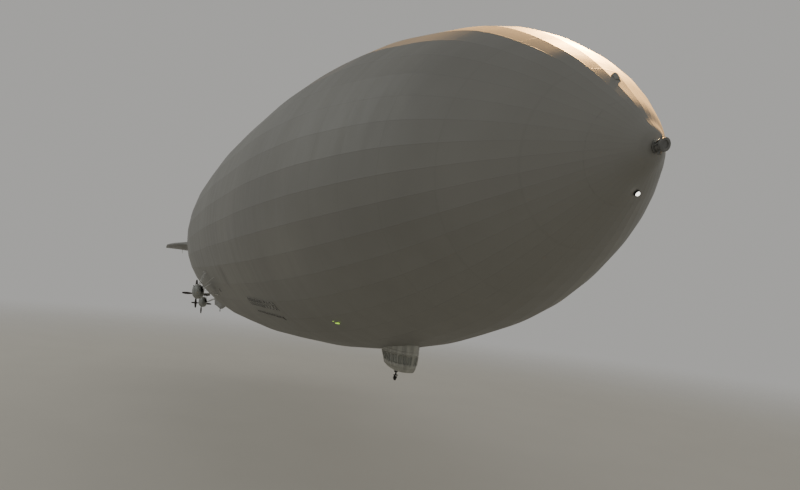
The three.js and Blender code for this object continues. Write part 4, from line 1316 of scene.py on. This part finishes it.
class AIRSHIP_OT_gear(bpy.types.Operator):
    """Fit tyres, hubs, boots and forks to the two landing castors"""

    bl_idname = "airship.gear"
    bl_label = "Landing gear"

    def execute(self, context):
        for label in ("car", "tail"):
            low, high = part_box(f"{label}_wheel_hub")
            centre = (low + high) / 2
            self.tyre(label, centre)
            self.hub(label, centre)
            self.boot(label)
            dress(f"{label}_gear_fork", "dark_metal")
        return {"FINISHED"}

    def tyre(self, label, centre):
        """A tyre with raised lines round its tread."""
        shape = Shape()
        profile = [(-0.062, 0.152)]
        for step in range(19):
            arc = math.radians(-155 + step * 310 / 18)
            profile.append((TYRE_HALF_WIDTH * math.sin(arc), 0.215 + 0.085 * math.cos(arc)))
        profile.append((0.062, 0.152))
        shape.lathe(full_size(profile), centre, (0, 1, 0), 64, closed=True)
        for offset in TREAD_OFFSETS:
            path = [centre + about_axle(TREAD_RADIUS, offset, turn) for turn in turns_of(64)]
            shape.tube(path, 0.0009, 6, loop=True)
        piece = shape.build(f"{label}_tyre_rubber", f"{label}_wheel", ("wheel_rubber",), "tyre", crease=60)
        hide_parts(f"{label}_tyre")

    def hub(self, label, centre):
        """A turned hub with bolts on both sides."""
        shape = Shape()
        profile = (
            (-0.11, 0.055), (-0.11, 0.08), (-0.07, 0.1), (-0.05, 0.145), (-0.066, 0.151),
            (0.066, 0.151), (0.05, 0.145), (0.07, 0.1), (0.11, 0.08), (0.11, 0.055),
        )
        shape.lathe(full_size(profile), centre, (0, 1, 0), 48, closed=True)
        for sign in (-1, 1):
            for turn in turns_of(6):
                bolt = centre + about_axle(0.115, sign * 0.055, turn)
                shape.lathe([(0, 0.0012), (0.0016, 0.0012)], bolt, (0, sign, 0), 6)
        piece = shape.build(f"{label}_hub_turned", f"{label}_wheel", ("dark_metal",), "dark_metal")
        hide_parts(f"{label}_wheel_hub")

    def boot(self, label):
        """The fixed leg in its pleated boot."""
        low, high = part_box(f"{label}_gear_leg")
        centre = Vector(((low.x + high.x) / 2, 0, high.z))
        tall = high.z - low.z
        profile = [(0, 0.0), (0, 0.024)]
        for pleat in range(4):
            profile += [(tall * (0.04 + 0.12 * pleat), 0.025), (tall * (0.1 + 0.12 * pleat), 0.021)]
        profile += [(tall * 0.53, 0.024), (tall * 0.56, 0.012), (tall * 0.6, 0.0095), (tall * 0.95, 0.0095),
                    (tall * 0.95, 0.012), (tall, 0.012), (tall, 0.0)]
        shape = Shape()
        shape.lathe(profile, centre, (0, 0, -1), 32)
        piece = shape.build(f"{label}_gear_boot", "ship", ("dark_metal",), "dark_metal", crease=60)
        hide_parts(f"{label}_gear_leg")


class AIRSHIP_OT_stage(bpy.types.Operator):
    """Lay the studio floor, hang the lights and set the camera"""

    bl_idname = "airship.stage"
    bl_label = "Stage"

    def execute(self, context):
        settings = context.scene.airship_stage
        floor = self.floor(settings)
        self.sky(settings)
        self.bow_spot(settings, floor)
        panel = self.lamp("cool panel", "AREA", settings.fill_power, PANEL_COLOUR, PANEL_PLACE, PANEL_PLACE)
        panel.data.size = PANEL_SIZE
        self.camera(settings)
        return {"FINISHED"}

    def floor(self, settings):
        shape = Shape()
        turns = turns_of(96)
        height = settings.floor_height
        rings = [
            [Vector((radius * math.cos(turn), radius * math.sin(turn), height)) for turn in turns]
            for radius in FLOOR_RINGS
        ]
        shape.loft(rings, caps=False)
        shape.add(rings[0], [tuple(range(len(turns)))])
        mesh = bpy.data.meshes.new("studio_floor")
        mesh.from_pydata(shape.points, [], shape.faces)
        mesh.materials.append(studio_floor(settings.floor_colour))
        floor = placed("studio_floor", mesh)
        return floor

    def sky(self, settings):
        world = bpy.data.worlds.new("studio")
        world.use_nodes = True
        background = world.node_tree.nodes["Background"]
        background.inputs["Color"].default_value = (*settings.sky_colour, 1)
        background.inputs["Strength"].default_value = 1.0
        bpy.context.scene.world = world

    def lamp(self, name, kind, power, colour, place, away):
        """A lamp in a place, which shines opposite to a direction."""
        light = bpy.data.lights.new(name, kind)
        light.energy = power
        light.color = colour
        lamp = placed(name, light)
        lamp.location = place
        lamp.rotation_euler = Vector(away).to_track_quat("Z", "Y").to_euler()
        return lamp

    def bow_spot(self, settings, floor):
        """A warm lamp behind the ship that lights its bow and leaves the floor alone."""
        way = Vector(SUN_WAY).normalized()
        place = Vector(SUN_AIM) + way * SUN_DISTANCE
        lamp = self.lamp("sunset lamp", "SPOT", settings.sun_power, SUN_COLOUR, place, way)
        lamp.data.spot_size = math.radians(SUN_CONE)
        lamp.data.spot_blend = 1.0
        lamp.data.shadow_soft_size = 2.5
        unlit = bpy.data.collections.new("unlit by the sunset lamp")
        unlit.objects.link(floor)
        lamp.light_linking.receiver_collection = unlit
        unlit.collection_objects[0].light_linking.link_state = "EXCLUDE"

    def camera(self, settings):
        data = bpy.data.cameras.new("camera")
        data.sensor_width = 36
        data.lens = settings.lens
        data.shift_x = settings.shift_x
        data.shift_y = settings.shift_y
        data.clip_end = 2000
        camera = placed("camera", data)
        camera.location = settings.eye
        level = Vector(settings.look).to_track_quat("-Z", "Y").to_matrix()
        turned = level @ Matrix.Rotation(settings.roll, 3, "Z")
        camera.rotation_euler = turned.to_euler()
        bpy.context.scene.camera = camera


def number(name, description, default, **rest):
    return bpy.props.FloatProperty(name=name, description=description, default=default, **rest)


def colour(name, description, default):
    return bpy.props.FloatVectorProperty(
        name=name, description=description, default=default, size=3, subtype="COLOR", min=0, max=1)


class AirshipColours(bpy.types.PropertyGroup):
    """Base colours of the finishes"""

    cloth: colour("Cloth", "Doped cloth of the hull and tail", (0.235, 0.232, 0.212))
    car: colour("Control car", "Paint of the control car", (0.38, 0.38, 0.34))
    nacelle: colour("Engine cars", "Paint of the engine cars", (0.26, 0.27, 0.25))
    dark_metal: colour("Dark metal", "Blackened fittings", (0.05, 0.05, 0.047))
    bright_metal: colour("Bright metal", "Light alloy", (0.55, 0.55, 0.52))
    blade: colour("Blades", "Varnished propeller wood", (0.03, 0.022, 0.017))
    fitting: colour("Fittings", "Wood inside the control car", (0.28, 0.17, 0.085))
    rubber: colour("Rubber", "Tyres", (0.02, 0.019, 0.018))


class AirshipHull(bpy.types.PropertyGroup):
    """Sizes of the hull's cloth"""

    bay_length: number("Bay", "Distance between rings, in full-size metres", 5.0, min=1)
    ring_step: number("Ring step", "Distance between mesh rings, in full-size metres", 1.25, min=0.5)
    sag: number("Sag", "How far the cloth draws in between rings", 0.0006, unit="LENGTH", min=0)


class AirshipWindows(bpy.types.PropertyGroup):
    """Places of the passenger windows"""

    upper_row: number("Upper row", "Upper promenade windows below the axis, in full-size metres", 13.45)
    lower_row: number("Lower row", "Lower promenade windows below the axis, in full-size metres", 14.02)
    first_station: number("First window", "Station of the first window, in full-size metres", 46.4)
    pitch: number("Pitch", "Distance between promenade windows, in full-size metres", 1.4, min=0.5)
    count: bpy.props.IntProperty(
        name="Count", description="Promenade windows in each row", default=10, min=1)


class AirshipCar(bpy.types.PropertyGroup):
    """Sizes of the control car"""

    wall: number("Wall", "Thickness of the car's shell", 0.008, unit="LENGTH", min=0.001)
    frame: number("Window frame", "Radius of the window frames", 0.0034, unit="LENGTH", min=0.001)


class AirshipEngines(bpy.types.PropertyGroup):
    """Sizes of the engine cars"""

    slats: bpy.props.IntProperty(
        name="Slats", description="Slats in each air intake", default=9, min=3)
    wire: number("Wire", "Radius of the bracing wires", 0.0016, unit="LENGTH", min=0.0005)


class AirshipStage(bpy.types.PropertyGroup):
    """Floor, lights and camera"""

    floor_height: number("Floor", "Height of the floor", -5.5, unit="LENGTH")
    floor_colour: colour("Floor colour", "Colour of the floor", (0.66, 0.63, 0.56))
    sky_colour: colour("Sky colour", "Even light from all around", (0.42, 0.415, 0.4))
    sun_power: number("Sun power", "Power of the warm lamp behind the ship", 650000.0, min=0)
    fill_power: number("Fill power", "Power of the cool panel to starboard", 1500.0, min=0)
    lens: number("Lens", "Focal length of the camera in millimetres", 25.08, min=5)
    shift_x: number("Shift across", "The photo is a crop to the side of its lens", 0.1260)
    shift_y: number("Shift up", "The photo is a crop above its lens", 0.1795)
    roll: number("Roll", "Tilt of the camera to the ship", math.radians(5.635), unit="ROTATION")
    eye: bpy.props.FloatVectorProperty(
        name="Eye", description="Place of the camera", default=(13.6411, -3.0002, -1.0586),
        subtype="TRANSLATION")
    look: bpy.props.FloatVectorProperty(
        name="Look", description="Direction of the camera", default=(-0.94524, 0.27188, -0.18057),
        subtype="DIRECTION")


GROUPS = (
    ("airship_colours", AirshipColours), ("airship_hull", AirshipHull), ("airship_windows", AirshipWindows),
    ("airship_car", AirshipCar), ("airship_engines", AirshipEngines), ("airship_stage", AirshipStage),
)
OPERATORS = (
    AIRSHIP_OT_hull, AIRSHIP_OT_bow, AIRSHIP_OT_windows, AIRSHIP_OT_control_car, AIRSHIP_OT_engine_cars,
    AIRSHIP_OT_propellers, AIRSHIP_OT_tail, AIRSHIP_OT_gear, AIRSHIP_OT_stage,
)


class AIRSHIP_PT_panel(bpy.types.Panel):
    """Lists the ship's pieces in the 3D view's sidebar"""

    bl_idname = "AIRSHIP_PT_panel"
    bl_label = "Airship"
    bl_space_type = "VIEW_3D"
    bl_region_type = "UI"
    bl_category = "Airship"

    def draw(self, context):
        for operator in OPERATORS:
            self.layout.operator(operator.bl_idname)


def register():
    for name, group in GROUPS:
        bpy.utils.register_class(group)
        setattr(bpy.types.Scene, name, bpy.props.PointerProperty(type=group))
    for operator in OPERATORS:
        bpy.utils.register_class(operator)
    bpy.utils.register_class(AIRSHIP_PT_panel)


def unregister():
    bpy.utils.unregister_class(AIRSHIP_PT_panel)
    for operator in reversed(OPERATORS):
        bpy.utils.unregister_class(operator)
    for name, group in reversed(GROUPS):
        delattr(bpy.types.Scene, name)
        bpy.utils.unregister_class(group)


def main():
    register()
    for operator in OPERATORS:
        group, name = operator.bl_idname.split(".")
        getattr(getattr(bpy.ops, group), name)()


if __name__ == "__main__":
    main()
